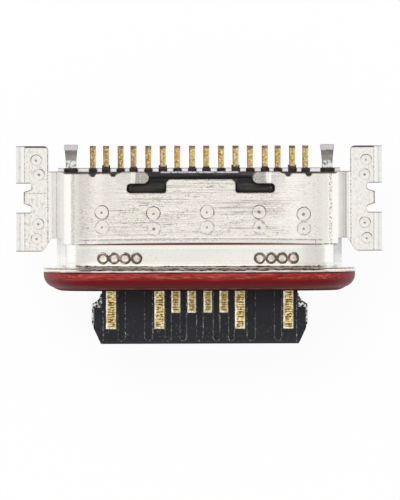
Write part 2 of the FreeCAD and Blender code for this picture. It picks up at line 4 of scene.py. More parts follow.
import bpy
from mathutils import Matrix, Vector


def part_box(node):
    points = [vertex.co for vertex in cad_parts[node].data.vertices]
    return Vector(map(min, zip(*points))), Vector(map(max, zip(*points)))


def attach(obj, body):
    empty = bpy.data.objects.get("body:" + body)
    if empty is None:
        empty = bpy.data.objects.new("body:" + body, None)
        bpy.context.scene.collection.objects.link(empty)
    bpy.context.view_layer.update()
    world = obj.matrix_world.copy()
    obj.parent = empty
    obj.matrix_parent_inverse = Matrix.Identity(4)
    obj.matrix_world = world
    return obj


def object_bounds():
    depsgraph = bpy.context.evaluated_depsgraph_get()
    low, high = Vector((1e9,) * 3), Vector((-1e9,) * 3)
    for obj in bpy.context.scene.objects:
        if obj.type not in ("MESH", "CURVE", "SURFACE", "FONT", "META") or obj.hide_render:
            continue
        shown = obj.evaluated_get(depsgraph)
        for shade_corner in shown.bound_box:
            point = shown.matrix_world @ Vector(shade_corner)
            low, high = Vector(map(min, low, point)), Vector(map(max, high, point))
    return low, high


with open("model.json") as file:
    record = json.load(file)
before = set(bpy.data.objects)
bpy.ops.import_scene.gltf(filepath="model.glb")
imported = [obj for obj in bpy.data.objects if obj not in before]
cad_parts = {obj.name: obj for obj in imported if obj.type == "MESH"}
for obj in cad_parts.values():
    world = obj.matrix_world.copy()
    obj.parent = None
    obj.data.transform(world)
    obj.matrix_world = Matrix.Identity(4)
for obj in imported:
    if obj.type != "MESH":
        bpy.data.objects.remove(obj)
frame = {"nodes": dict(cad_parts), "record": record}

CAD_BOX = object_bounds()

# Scene units are metres, and the sizes in this script are in millimetres
MM = 0.001

# The photograph looks down, leaning a little. A pixel of it is PIXEL millimetres wide, the origin of
# the object falls on MOUTH_PX, and the middle of the picture is CENTRE_PX
PIXEL = 1 / 32.2
VIEW_HEIGHT_PX = 500
MOUTH_PX = (199.3, 290.45)
CENTRE_PX = (200.0, 250.0)
CAMERA_HEIGHT = 150.0
CAMERA_CLIP = (10.0, 1000.0)
LEAN_LEFT = math.radians(1.6)
LEAN_BACK = math.radians(0.65)
ROLL = math.radians(-0.15)
SENSOR = 36.0

# Brightness of the surround, by height from level to straight up, and the lamp and the floor
SKY_LEVELS = ((0.0, 1.02), (0.17, 1.02), (0.24, 0.87), (0.55, 0.80), (0.80, 0.86), (1.0, 0.93))
LAMP_PLACE = (-55.0, 75.0, 130.0)
LAMP_SIZE = 90.0
LAMP_WATTS = 0.075
FLOOR_HEIGHT = CAD_BOX[0].z / MM
FLOOR_HALF = 600.0
FLOOR_GREY = 0.88
FLOOR_GLOW = 0.93

# Heights of the sheets that the weld marks lie on. The mouth is an obround, and it is straight as
# far as SPINE to either side
COVER_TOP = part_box("top_cover")[1].z / MM
SLEEVE_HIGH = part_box("inner_sleeve")[1]
SPINE = (SLEEVE_HIGH.x - SLEEVE_HIGH.z) / MM
COLLAR_WALL = 0.14
COLLAR_TOP = SLEEVE_HIGH.z / MM + COLLAR_WALL
EAR_TOP = 0.16

# Weld marks: X and Y of each centre, and their radius
COVER_WELDS = (
    (-3.045, 2.425), (-1.46, 2.39), (0.19, 2.43), (1.79, 2.425), (3.165, 2.36),
    (-3.035, 1.97), (-1.44, 1.92), (0.19, 1.96), (1.805, 1.96), (3.165, 1.915),
)
EAR_WELDS = (
    (-5.06, 4.045), (-4.975, 3.60), (-4.995, 2.065), (-5.055, 1.605),
    (5.18, 4.04), (5.135, 3.585), (5.14, 2.095), (5.20, 1.61),
)
RING_WELDS = [(x, 1.01) for x in (-3.01, -2.67, -2.33, -1.98, 1.81, 2.165, 2.505, 2.84)]
COVER_WELD_RADIUS = 0.225
EAR_WELD_RADIUS = 0.18
RING_WELD_RADIUS = 0.192

# Profiles of the marks: share of the radius, and height over the sheet. The wobble makes the marks
# not quite round
SPOT_PROFILE = ((0.1, 0.002), (0.3, 0.002), (0.5, 0.002), (0.7, 0.002), (0.9, 0.002), (1.0, 0.0005))
RING_PROFILE = ((0.10, 0.003), (0.46, 0.003), (0.62, 0.010), (0.80, 0.013), (0.94, 0.006), (1.0, -0.005))
WELD_SIDES = 40
WELD_WOBBLE = 0.02
WELD_LOBES = 3

# On a square edge the soft normal leans 45 degrees, and EDGE_GAIN then gives about one
EDGE_GAIN = 3.4
EDGE_SAMPLES = 6
HOLLOW_SAMPLES = 8

# Of the places below, a pair holds the two ends of a band or of a gradual change. Looks that differ
# between left and right change over in the middle
LEFT_TO_RIGHT = (-1.0, 1.0)

# Softness of the edges of fine lines, and the colour of the painted shade along cut edges
FINE = 0.008
CUT_EDGE_SHADE = (0.075, 0.045, 0.035)

# Front edge of the cover, with the pressed strip along it, which carries bands of painted shade and
# painted highlight
COVER_FRONT = 1.42
COVER_BOW = 0.04
COIN_HALF = 3.55
STRIP_END = (3.52, 3.55)
STRIP_DEPTH = (0.04, 0.17)
STRIP_REAR = (0.19, 0.24)
FRONT_SIDE = (3.70, 3.78)
FRONT_CORNER = (3.72, 4.38)

# Flat top of the cover: where brushing ends, where it is calmer, and where painted shade and
# painted light change its tone
TOP_SIDE = (3.66, 3.80)
TOP_HEIGHT = (1.38, 1.50)
CALM_RIGHT = (2.2, 3.0)
CALM_LEFT = (-2.2, -2.8)
CALM_REAR = (2.4, 2.8)
LIT_RIGHT = (2.0, 3.0)
SHADED_LEFT = (-1.2, -2.8)
SHADED_CORNER = ((-2.6, -3.0), (2.5, 2.8))

# Lock tabs: sides and height of the tab, which carries painted shade, its slot, its root with a
# painted highlight, and the sheet beside it
SHEET_HEIGHT = (1.3, 1.4)
TAB_SIDE = (2.02, 1.98)
TAB_HEIGHT = (1.66, 1.63)
TAB_SLOT = (3.2, 3.25)
TAB_ROOT_HIGHLIGHT = (2.00, 2.15)
ROOT_START = (3.30, 3.33)
BESIDE_TAB = (2.17, 2.60)

# Bent sides of the cover: bands of painted highlight and painted reflection, a grainy seam and a
# warm line, counted from a centre that differs between left and right
SIDE_CENTRE = (0.055, 0.030)
SIDE_START = (3.75, 3.85)
SIDE_HEIGHT = (0.25, 0.45)
GRAINY_SEAM = (3.93, 4.03)
SIDE_HIGHLIGHT_BAND = (4.05, 4.25)
OUTER_SHADE_BAND = (4.27, 4.50)
FOOT_HIGHLIGHT_BAND = (4.50, 4.72)
WARM_LINE = (4.495, 4.53)
BEND_GLARE = (4.22, 4.60)

# Dark broken lines of painted reflection down the sides and of painted shade on the ears: place,
# half the width, least and most strength
SIDE_REFLECTION_LINES = ((4.41, 0.010, 0.05, 0.30), (4.49, 0.014, 0.20, 0.60), (4.61, 0.012, 0.05, 0.22))
EAR_SHADE_LINES = ((4.705, 0.017, 0.25, 0.95), (5.27, 0.010, 0.0, 0.45), (5.42, 0.014, 0.3, 0.8))

# Ears of the cover, with their pegs, painted shade along their rear edge, a painted highlight on
# the bend of the pegs and painted shade on their outer side, and the comb of the bracket
EAR_HEIGHT = (0.5, 0.3)
EAR_FOOT = (4.70, 4.73)
EAR_SHEET = (4.85, 4.95)
EAR_NOTCH = (2.58, 3.28)
EAR_REAR_SHADE = (4.41, 4.435)
SCRIBED_LINE = (3.005, 3.03)
PEG_BEND_HIGHLIGHT = (5.44, 5.55)
PEG_SIDE_SHADE = (5.55, 5.61)
COMB_SIDE = (4.45, 4.35)
COMB_REAR = (3.70, 3.72)

# Collar: bands across it, a painted highlight and painted shade on its bent sides, painted shadow
# under the cover's front edge, and wavy lines of painted shade with the strength of each
UPPER_HALF = (0.8, 1.1)
COOL_BAND = (1.18, 1.30)
WARM_BAND = (1.30, 1.37)
SHADOW_UNDER_COVER = (1.417, 1.47)
COLLAR_BLUSH = (3.15, 3.76)
COLLAR_SIDE_HIGHLIGHT = (3.84, 4.10)
COLLAR_OUTER_SHADE = (4.10, 4.13)
WAVY_SHADE_LINES = ((4.145, 0.55), (4.33, 0.35))
WAVY_SHADE_HALF = 0.012

# Flange: the shade behind its foot, and painted grey shade on it with dark lines (place, half the
# width, least strength). Then its scratches, the brown line at its ends, and its painted rim highlight
FOOT_SHADE = (0.76, 0.86)
FLANGE_SHADE_BAND = (0.63, 0.765)
FLANGE_SHADE_SIDE = (3.55, 3.90)
FLANGE_SHADE_LINES = ((0.745, 0.019, 0.25), (0.700, 0.008, 0.0), (0.652, 0.024, 0.55))
SCRATCHED = (0.73, 0.79)
END_LINE = (0.668, 0.700)
RIM_HIGHLIGHT = (0.575, 0.615)

# Seal: its ends with a painted reflection, its crown with a painted pink highlight, and the
# painted gleam and the painted shade of the lip at its front
SEAL_END_REFLECTION = (3.9, 4.7)
CROWN = (0.36, 0.53)
PINK_HIGHLIGHT = (0.33, 0.52)
GLINT = (0.050, 0.085)
LIP_SHADE = (0.045, 0.030)

# Tongue: the middle and half width of each shallow channel, and where they all end. Then the foot
# of its side steps, its faces, the line across its nose, and the rims of the steps
CHANNELS = ((0.0, 0.095), (0.515, 0.095), (0.98, 0.085), (1.59, 0.12), (2.425, 0.105))
CHANNEL_TIP = -1.56
TONGUE_STEP = (2.985, 3.015)
TONGUE_FACE = (0.29, 0.31)
TONGUE_REAR = (1.9, 2.1)
NOSE_LINE = (-1.445, -1.42)
STEP_SIDE = (3.27, 3.30)
STEP_RIM = (-0.98, -0.36)

# Rear of the insulator: neck, pocket under the lock tabs, corners of the neck with painted shade,
# blocks that carry the tails, and sill
NECK_START = (2.9, 3.0)
POCKET = (2.98, 3.30)
POCKET_GLINT = (2.13, 2.20)
NECK_CORNER_SHADE = ((1.12, 1.98), (3.31, 3.44))
BLOCK_REAR = (3.64, 3.68)
END_BLOCK = ((3.46, 3.52), (3.56, 3.60))
SILL = (3.636, 3.688)
SILL_SIDE = (1.25, 1.15)

# Contacts: from one rib across the pads to the next, how far out the short pads reach, where
# contacts are tails, and where the tips of the tails start
RIB_PITCH = 0.075
SHORT_PADS = (1.05, 1.0)
TAIL_START = (2.4, 2.6)
TAIL_TIP = (4.385, 4.40)

# Middle plate: where its latch edges end, its legs begin, and the legs are tinned
LATCH_END = (3.4, 3.5)
LEG_START = (3.98, 4.06)
LEG_SHADE = (4.08, 4.32)
LEG_TIP = (4.335, 4.375)

# Between the front and the rear row of spot welds on the cover, and up from the ears to the cover
WELD_ROWS = (2.18, 2.24)
EARS_TO_COVER = (1.0, 1.2)


class Shader:
    """A node material, built a node at a time. An input given a socket is linked to it."""

    def __init__(self, name):
        self.material = bpy.data.materials.new(name)
        self.material.use_nodes = True
        self.tree = self.material.node_tree
        self.surface = self.tree.nodes["Principled BSDF"]

    def set(self, node, values):
        for key, value in values.items():
            socket = node.inputs[key]
            if isinstance(value, bpy.types.NodeSocket):
                self.tree.links.new(value, socket)
            else:
                socket.default_value = value
        return node

    def add(self, kind, values=None, **settings):
        node = self.tree.nodes.new("ShaderNode" + kind)
        for key, value in settings.items():
            setattr(node, key, value)
        return self.set(node, values or {})

    def math(self, operation, *values):
        node = self.add("Math", dict(enumerate(values)), operation=operation)
        return node.outputs[0]

    def absolute(self, value):
        return self.math("ABSOLUTE", value)

    def product(self, *values):
        total = values[0]
        for value in values[1:]:
            total = self.math("MULTIPLY", total, value)
        return total

    def moved(self, value, noise, reach):
        """Value moved by a noise, by up to half of reach either way."""
        return self.math("ADD", value, self.math("MULTIPLY_ADD", noise, reach, -reach / 2))

    def place(self):
        """Position on the object in millimetres, as a vector."""
        spot = self.add("TexCoord").outputs["Object"]
        scaled = self.add("VectorMath", {0: spot, 1: (1 / MM,) * 3}, operation="MULTIPLY")
        return scaled.outputs[0]

    def split(self, vector):
        return self.add("SeparateXYZ", {0: vector}).outputs[:3]

    def noise(self, vector, stretch, detail=3.0, rough=0.55, seed=0.0):
        """Noise whose grains per millimetre along X, Y and Z are given by stretch."""
        move = self.add("VectorMath", {0: vector, 1: stretch, 2: (seed,) * 3}, operation="MULTIPLY_ADD")
        values = {"Vector": move.outputs[0], "Scale": 1.0, "Detail": detail, "Roughness": rough}
        return self.add("TexNoise", values).outputs["Fac"]

    def ramp(self, value, low, high, start=0.0, end=1.0):
        """Runs smoothly from start to end while value goes from low to high."""
        if low > high:
            low, high, start, end = high, low, end, start
        values = {"Value": value, "From Min": low, "From Max": high, "To Min": start, "To Max": end}
        node = self.add("MapRange", values, interpolation_type="SMOOTHSTEP")
        return node.outputs[0]

    def band(self, value, low, high, soft):
        """One between low and high, zero outside, with soft edges."""
        rise = self.ramp(value, low - soft, low + soft)
        fall = self.ramp(value, high - soft, high + soft, 1.0, 0.0)
        return self.math("MULTIPLY", rise, fall)

    def mix(self, factor, first, second):
        """Colour between first and second. Inputs 0, 6 and 7 of the node are its factor and colours."""
        node = self.add("Mix", data_type="RGBA")
        for index, value in ((0, factor), (6, first), (7, second)):
            if isinstance(value, tuple):
                value = (*value, 1.0)
            self.set(node, {index: value})
        return node.outputs[2]

    def paint(self, under, over, *shares):
        """Lays a colour over another, as far as the product of the shares says."""
        return self.mix(self.product(*shares), under, over)

    def colors(self, value, stops):
        """Colours along a value, from a list of (value, colour)."""
        low = stops[0][0]
        span = stops[-1][0] - low
        share = self.math("DIVIDE", self.math("SUBTRACT", value, low), span)
        node = self.add("ValToRGB", {"Fac": share})
        elements = node.color_ramp.elements
        elements[0].color = (*stops[0][1], 1.0)
        elements[1].color = (*stops[-1][1], 1.0)
        for at, color in stops[1:-1]:
            elements.new((at - low) / span).color = (*color, 1.0)
        return node.outputs[0]

    def facing(self):
        """X, Y and Z of the way that a face looks, with no smoothing."""
        return self.split(self.add("NewGeometry").outputs["True Normal"])

    def upward(self):
        """One on faces that look up, zero on upright ones and those that look down."""
        return self.ramp(self.facing()[2], 0.3, 0.6)

    def edge(self, radius):
        """How near an edge lies, from one on it to zero at radius, and the way that it faces."""
        soft = self.add("Bevel", {"Radius": radius * MM}, samples=EDGE_SAMPLES).outputs[0]
        hard = self.add("NewGeometry").outputs["Normal"]
        along = self.add("VectorMath", {0: soft, 1: hard}, operation="DOT_PRODUCT").outputs["Value"]
        return self.math("MULTIPLY", self.math("SUBTRACT", 1.0, along), EDGE_GAIN), self.split(soft)

    def hollow(self, reach):
        """One deep in a corner or under an overhang, zero in the open, over reach millimetres."""
        node = self.add("AmbientOcclusion", {"Distance": reach * MM}, samples=HOLLOW_SAMPLES)
        return self.math("SUBTRACT", 1.0, node.outputs["AO"])

    def bump(self, height, depth):
        """Surface relief: height runs from 0 to 1 and stands for depth in millimetres."""
        node = self.add("Bump", {"Height": height, "Distance": depth * MM, "Strength": 1.0})
        self.set(self.surface, {"Normal": node.outputs[0]})
        return node

    def finish(self, color, roughness, metallic=0.0, **more):
        values = {"Base Color": color, "Roughness": roughness, "Metallic": metallic}
        if isinstance(color, tuple):
            values["Base Color"] = (*color, 1.0)
        values.update({key.replace("_", " "): value for key, value in more.items()})
        self.set(self.surface, values)
        return self.material


def shade_on_cut_edges(s, spot, color):
    """Painted shade: a broken dark line along a sheet's cut edges, heavy on those that face the rear and on
    ears.
    """
    x, y, z = s.split(spot)
    near, way = s.edge(0.07)
    broken = s.ramp(s.noise(spot, (3.0, 3.0, 3.0), 3.0, 0.6, 31.0), 0.38, 0.58, 0.15, 1.0)
    rear_shade = s.ramp(way[1], 0.05, 0.30, 0.45, 1.0)
    line = s.product(s.ramp(near, 0.06, 0.32), s.math("MAXIMUM", broken, s.ramp(rear_shade, 0.6, 1.0)), rear_shade)
    crosswise = s.ramp(s.absolute(way[1]), 0.10, 0.30)
    cut = s.math("MAXIMUM", crosswise, s.band(y, *EAR_NOTCH, 0.03))
    ears = s.product(s.ramp(s.absolute(x), *EAR_SHEET), s.ramp(z, *EAR_HEIGHT), s.ramp(near, 0.005, 0.09))
    ears = s.product(ears, cut, s.ramp(broken, 0.2, 0.7, 0.6, 1.0))
    # Painted shade along the cut edges, darkest where they face the rear
    return s.paint(color, CUT_EDGE_SHADE, s.math("MAXIMUM", line, ears), 0.9)


def sheet_grain(s, spot):
    """Fine grain of the rolled sheet."""
    return s.noise(spot, (17.0, 17.0, 17.0), 2.0, 0.65, 11.0)


def brush_lines(s, spot):
    """Long fine lines that brushing left across the cover."""
    return s.noise(spot, (0.35, 24.0, 24.0), 1.0, 0.5)


def brushed_area(s, spot):
    """One on the flat top of the cover, which was brushed, and zero elsewhere."""
    place = s.split(spot)
    return s.product(s.ramp(s.absolute(place[0]), *TOP_SIDE, 1.0, 0.0), s.ramp(place[2], *TOP_HEIGHT))


def brushed_top(s, spot, color):
    """Lines, dashes and specks of the brushed area, fainter on its right and at its left rear."""
    x, y = s.split(spot)[:2]
    left_rear = s.product(s.ramp(x, *CALM_LEFT), s.ramp(y, *CALM_REAR))
    calm = s.math("MAXIMUM", s.ramp(x, *CALM_RIGHT), left_rear)
    busy = s.product(brushed_area(s, spot), s.ramp(s.absolute(x), 2.3, 3.3, 1.0, 0.7))
    busy = s.product(busy, s.ramp(calm, 0.0, 1.0, 1.0, 0.45))
    dashes = s.noise(spot, (2.6, 30.0, 30.0), 2.0, 0.55, 7.0)
    specks = s.noise(spot, (19.0, 30.0, 30.0), 1.0, 0.5, 27.0)
    pale = s.noise(spot, (2.2, 26.0, 26.0), 2.0, 0.6, 37.0)
    worn = s.ramp(s.noise(spot, (1.3, 1.9, 1.9), 3.0, 0.65, 57.0), 0.35, 0.62, 0.35, 1.0)
    long_lines = s.ramp(brush_lines(s, spot), 0.56, 0.64, 0.0, 0.70)
    color = s.paint(color, (1.0, 0.985, 0.95), s.ramp(pale, 0.52, 0.66, 0.0, 0.8), busy)
    color = s.paint(color, (0.42, 0.37, 0.32), long_lines, busy, s.ramp(worn, 0.35, 1.0, 0.6, 1.0))
    color = s.paint(color, (0.30, 0.25, 0.21), s.ramp(dashes, 0.59, 0.67, 0.0, 0.8), busy, worn)
    return s.paint(color, (0.33, 0.29, 0.25), s.ramp(specks, 0.58, 0.68, 0.0, 0.8), busy, worn)


def cover_color(s, spot):
    """Colour of the stamped steel: brushed on top with painted light and shade across it, painted highlight
    and reflection bands down the sides, and scuffed on the ears.
    """
    x, y, z = s.split(spot)
    top = s.ramp(z, 1.10, 1.30)
    tint = s.noise(spot, (1.1, 1.7, 1.7), 2.0, 0.5, 17.0)
    color = s.mix(s.ramp(tint, 0.40, 0.62), (0.865, 0.845, 0.755), (0.885, 0.825, 0.775))
    # Painted shade on the left of the top and at its left rear corner, and painted light on its right
    corner_side, corner_rear = SHADED_CORNER
    shade_corner = s.product(s.ramp(x, *corner_side), s.ramp(y, *corner_rear), top)
    color = s.paint(color, (0.80, 0.78, 0.72), shade_corner, 0.5)
    color = s.paint(color, (0.80, 0.755, 0.695), s.ramp(x, *SHADED_LEFT, 0.0, 0.4), top)
    color = s.paint(color, (0.99, 0.955, 0.885), s.ramp(x, *LIT_RIGHT, 0.0, 0.95), top)
    color = brushed_top(s, spot, color)
    ears = s.ramp(z, *EAR_HEIGHT)
    scuffs = s.noise(spot, (13.0, 8.0, 13.0), 3.0, 0.65, 19.0)
    dark_scuffs = s.product(s.ramp(scuffs, 0.52, 0.66, 0.0, 0.50), s.ramp(x, *LEFT_TO_RIGHT, 1.0, 0.6))
    color = s.paint(color, (0.95, 0.93, 0.875), ears, 0.7)
    color = s.paint(color, (0.45, 0.42, 0.36), ears, dark_scuffs)
    color = s.paint(color, (1.0, 1.0, 0.97), ears, s.ramp(scuffs, 0.47, 0.36, 0.0, 0.7))
    dots = s.ramp(sheet_grain(s, spot), 0.46, 0.60)
    color = side_highlight_bands(s, color, x, z, dots)
    return ear_lines(s, color, x, y, ears, dots)


def dotted_lines(s, color, across, dots, lines):
    """Dark lines of painted reflection and painted shade, which the dots break up."""
    for at, half, least, most in lines:
        line = s.band(across, at - half, at + half, FINE)
        color = s.paint(color, (0.30, 0.265, 0.23), line, s.ramp(dots, 0.2, 0.8, least, most))
    return color


def side_highlight_bands(s, color, x, z, dots):
    """Painted highlight bands and a darker painted reflection band, a grainy seam, a warm line and fine
    lines of painted reflection down the bends at the sides of the cover.
    """
    right = s.ramp(x, *LEFT_TO_RIGHT)
    beside = s.absolute(s.math("SUBTRACT", x, s.ramp(x, *LEFT_TO_RIGHT, *SIDE_CENTRE)))
    side = s.product(s.ramp(beside, *SIDE_START), s.ramp(z, *SIDE_HEIGHT))
    # Painted reflections on the bend: a darker outer band, bright highlight bands and dark lines
    outer_shade = s.mix(right, (0.84, 0.815, 0.78), (0.80, 0.785, 0.79))
    color = s.paint(color, (0.98, 0.96, 0.92), side, s.ramp(beside, 4.0, 3.9), 0.7)
    color = s.paint(color, (0.50, 0.46, 0.42), side, dots, 0.20)
    color = s.paint(color, outer_shade, s.band(beside, *OUTER_SHADE_BAND, 0.012), side)
    color = s.paint(color, (0.98, 0.965, 0.93), s.band(beside, *SIDE_HIGHLIGHT_BAND, 0.014), side)
    seam = s.product(s.band(beside, *GRAINY_SEAM, 0.015), side, s.math("MULTIPLY_ADD", dots, 0.9, 0.05))
    color = s.paint(color, (0.46, 0.41, 0.34), seam, s.ramp(right, 0.0, 1.0, 0.4, 1.0))
    color = s.paint(color, (1.0, 0.99, 0.965), s.band(beside, *FOOT_HIGHLIGHT_BAND, 0.015), 0.95)
    warm = s.product(s.band(beside, *WARM_LINE, 0.010), right)
    color = s.paint(color, (0.58, 0.43, 0.38), warm, s.ramp(dots, 0.0, 1.0, 0.6, 1.0))
    return dotted_lines(s, color, beside, dots, SIDE_REFLECTION_LINES)


def ear_lines(s, color, x, y, ears, dots):
    """Lines along the ears: painted shade at their foot, a painted highlight at the bend of the pegs with
    painted shade beyond it, a scribed line across them, and painted shade at their rear.
    """
    across = s.absolute(x)
    color = dotted_lines(s, color, across, dots, EAR_SHADE_LINES)
    # Painted highlight on the bend of the pegs, and painted shade on their outer side
    color = s.paint(color, (1.0, 1.0, 0.99), s.band(across, *PEG_BEND_HIGHLIGHT, 0.01), 0.8)
    color = s.paint(color, (0.76, 0.75, 0.79), s.ramp(across, *PEG_SIDE_SHADE), s.ramp(dots, 0.0, 1.0, 0.35, 0.7))
    sheet = s.product(ears, s.ramp(across, *EAR_FOOT))
    scribed = s.product(s.band(y, *SCRIBED_LINE, FINE), sheet, s.ramp(dots, 0.0, 1.0, 0.25, 0.9))
    color = s.paint(color, (0.34, 0.31, 0.28), scribed, s.ramp(x, *LEFT_TO_RIGHT, 1.0, 0.0))
    # Painted shade along the rear edge of the ears
    rear_shade = s.product(s.ramp(y, *EAR_REAR_SHADE), sheet, s.ramp(across, 5.43, 5.40))
    return s.paint(color, CUT_EDGE_SHADE, rear_shade, 0.9)


def front_strip(s, spot, color):
    """Painted light and shade along the cover's bowed front edge: painted shade at the cut, painted
    highlight and darker bands on the pressed strip, and its step.
    """
    x, y, z = s.split(spot)
    across = s.absolute(x)
    share = s.math("DIVIDE", x, COIN_HALF)
    bow = s.math("MULTIPLY_ADD", s.math("MULTIPLY", share, share), -COVER_BOW, COVER_BOW)
    behind = s.math("SUBTRACT", s.math("SUBTRACT", y, s.math("MAXIMUM", bow, 0.0)), COVER_FRONT)
    # Painted shade in the gap at the cut edge, then painted highlight and darker painted reflection bands up
    # the pressed strip
    strip_light_and_shade = s.colors(behind, [
        (0.0, (0.035, 0.014, 0.010)), (0.010, (0.05, 0.02, 0.015)), (0.026, (0.60, 0.46, 0.40)),
        (0.050, (1.0, 0.97, 0.95)), (0.095, (0.92, 0.88, 0.86)), (0.125, (0.80, 0.78, 0.72)),
        (0.150, (0.31, 0.285, 0.255)), (0.172, (0.84, 0.81, 0.75)), (0.20, (1.0, 0.99, 0.95)),
        (0.24, (0.97, 0.94, 0.90)),
    ])
    front = s.product(s.ramp(across, *FRONT_SIDE, 1.0, 0.0), s.ramp(z, *SHEET_HEIGHT))
    marks = s.ramp(s.noise(spot, (11.0, 22.0, 11.0), 2.0, 0.6, 21.0), 0.42, 0.60, 1.0, 0.35)
    marks = s.math("MAXIMUM", marks, s.ramp(behind, 0.04, 0.05, 1.0, 0.0))
    color = s.paint(color, strip_light_and_shade, front, s.ramp(behind, *STRIP_REAR, 1.0, 0.0), marks)
    tick = s.product(s.band(across, *FRONT_CORNER, 0.03), s.ramp(y, 1.47, 1.44), s.ramp(z, 0.6, 0.8))
    inner = s.ramp(x, *LEFT_TO_RIGHT, 0.0, 0.85)
    inner = s.math("MAXIMUM", s.ramp(across, 4.28, 4.32, 0.3, 1.0), inner)
    broken = s.ramp(s.noise(spot, (9.0, 9.0, 9.0)), 0.42, 0.56)
    color = s.paint(color, (0.15, 0.11, 0.09), tick, broken, inner)
    end = s.product(s.band(across, *STRIP_END, FINE), s.band(behind, *STRIP_DEPTH, 0.01))
    return s.paint(color, (0.25, 0.22, 0.20), end, front, 0.6)


def lock_tabs(s, spot, color, grain):
    """Painted shade on the sloping lock tabs, a painted highlight on the bends at their roots, and darker
    sheet beside them.
    """
    x, y, z = s.split(spot)
    across = s.absolute(x)
    sheet = s.ramp(z, *SHEET_HEIGHT)
    shaded_tab = s.product(s.ramp(z, *TAB_HEIGHT), s.ramp(y, *TAB_SLOT), s.ramp(z, *EARS_TO_COVER))
    # Painted shade on the tabs, which slope down from the sheet
    shade = s.mix(s.ramp(grain, 0.35, 0.65), (0.38, 0.355, 0.32), (0.585, 0.555, 0.50))
    color = s.paint(color, shade, shaded_tab, s.ramp(across, *TAB_SIDE))
    # Painted highlight on the bend at each tab's root
    root = s.product(s.band(across, *TAB_ROOT_HIGHLIGHT, 0.014), s.ramp(y, *ROOT_START), sheet)
    color = s.mix(root, color, (1.0, 0.965, 0.935))
    beside = s.product(s.band(across, *BESIDE_TAB, 0.02), s.ramp(y, 3.25, 3.35), sheet)
    return s.paint(color, (0.70, 0.665, 0.62), beside, 0.45)


def comb_top(s, spot, color, grain):
    """Pale top of the bracket's comb, behind the tails."""
    x, y, z = s.split(spot)
    comb = s.product(s.ramp(y, *COMB_REAR), s.ramp(z, 1.0, 0.9), s.ramp(s.absolute(x), *COMB_SIDE))
    return s.paint(color, s.mix(grain, (0.74, 0.71, 0.79), (1.0, 0.99, 1.0)), comb, s.upward(), 0.85)


def cover_steel():
    """Stamped stainless steel: brushed across the top, smooth where the sides bend down."""
    s = Shader("cover_steel")
    spot = s.place()
    across = s.absolute(s.split(spot)[0])
    grain = sheet_grain(s, spot)
    brushed = brushed_area(s, spot)
    color = cover_color(s, spot)
    color = front_strip(s, spot, color)
    color = lock_tabs(s, spot, color, grain)
    color = comb_top(s, spot, color, grain)
    color = shade_on_cut_edges(s, spot, color)
    relief = s.product(brush_lines(s, spot), brushed, 0.7)
    s.bump(s.math("MULTIPLY_ADD", grain, 0.3, relief), 0.0015)
    rough = s.math("MULTIPLY_ADD", s.band(across, *BEND_GLARE, 0.03), 0.26, 0.12)
    return s.finish(color, s.math("MULTIPLY_ADD", brushed, 0.14, rough), 1.0)


def collar_bands(s, spot, color, above):
    """Bands and specks on the collar, a painted highlight and painted shade on its bent sides, wavy lines of
    painted shade, and a painted shadow under the cover's front edge.
    """
    x, y, z = s.split(spot)
    across = s.absolute(x)
    color = s.paint(color, (0.80, 0.86, 0.84), s.band(y, *COOL_BAND, 0.03), above, 0.5)
    color = s.paint(color, (1.0, 0.96, 0.86), s.band(y, *WARM_BAND, 0.015), above, 0.8)
    blush = s.product(s.band(x, *COLLAR_BLUSH, 0.10), s.ramp(y, 0.7, 0.9), above)
    color = s.paint(color, (0.80, 0.755, 0.74), blush, 0.6)
    # Painted highlight on the bend of the collar, and painted shade beyond it
    color = s.paint(color, (1.0, 0.995, 0.975), s.band(across, *COLLAR_SIDE_HIGHLIGHT, 0.014), above)
    outer_shade = s.mix(s.ramp(x, *LEFT_TO_RIGHT), (0.93, 0.935, 0.95), (0.74, 0.74, 0.78))
    color = s.paint(color, outer_shade, s.ramp(across, *COLLAR_OUTER_SHADE), s.ramp(y, 0.8, 0.9), 0.8)
    # Wavy grey lines of painted shade down the bend
    for at, most in WAVY_SHADE_LINES:
        wavy_shade = s.ramp(s.noise(spot, (9.0, 2.5, 9.0), 2.0, 0.6, at), 0.40, 0.60, 0.1, most)
        line = s.band(across, at - WAVY_SHADE_HALF, at + WAVY_SHADE_HALF, FINE)
        color = s.paint(color, (0.52, 0.50, 0.50), line, wavy_shade)
    specks = s.noise(spot, (15.0, 15.0, 15.0), 2.0, 0.6, 9.0)
    color = s.paint(color, (0.46, 0.43, 0.38), s.ramp(specks, 0.60, 0.72, 0.0, 0.45))
    shade = s.product(s.band(y, *FOOT_SHADE, 0.02), above, s.ramp(across, 3.95, 3.80))
    color = s.paint(color, (0.78, 0.735, 0.68), shade, 0.75)
    # Painted shadow on the collar just under the cover's front edge
    under = s.product(s.band(y, *SHADOW_UNDER_COVER, FINE), s.ramp(across, 3.82, 3.74), s.ramp(z, 1.2, 1.3))
    return s.paint(color, (0.12, 0.045, 0.032), under)


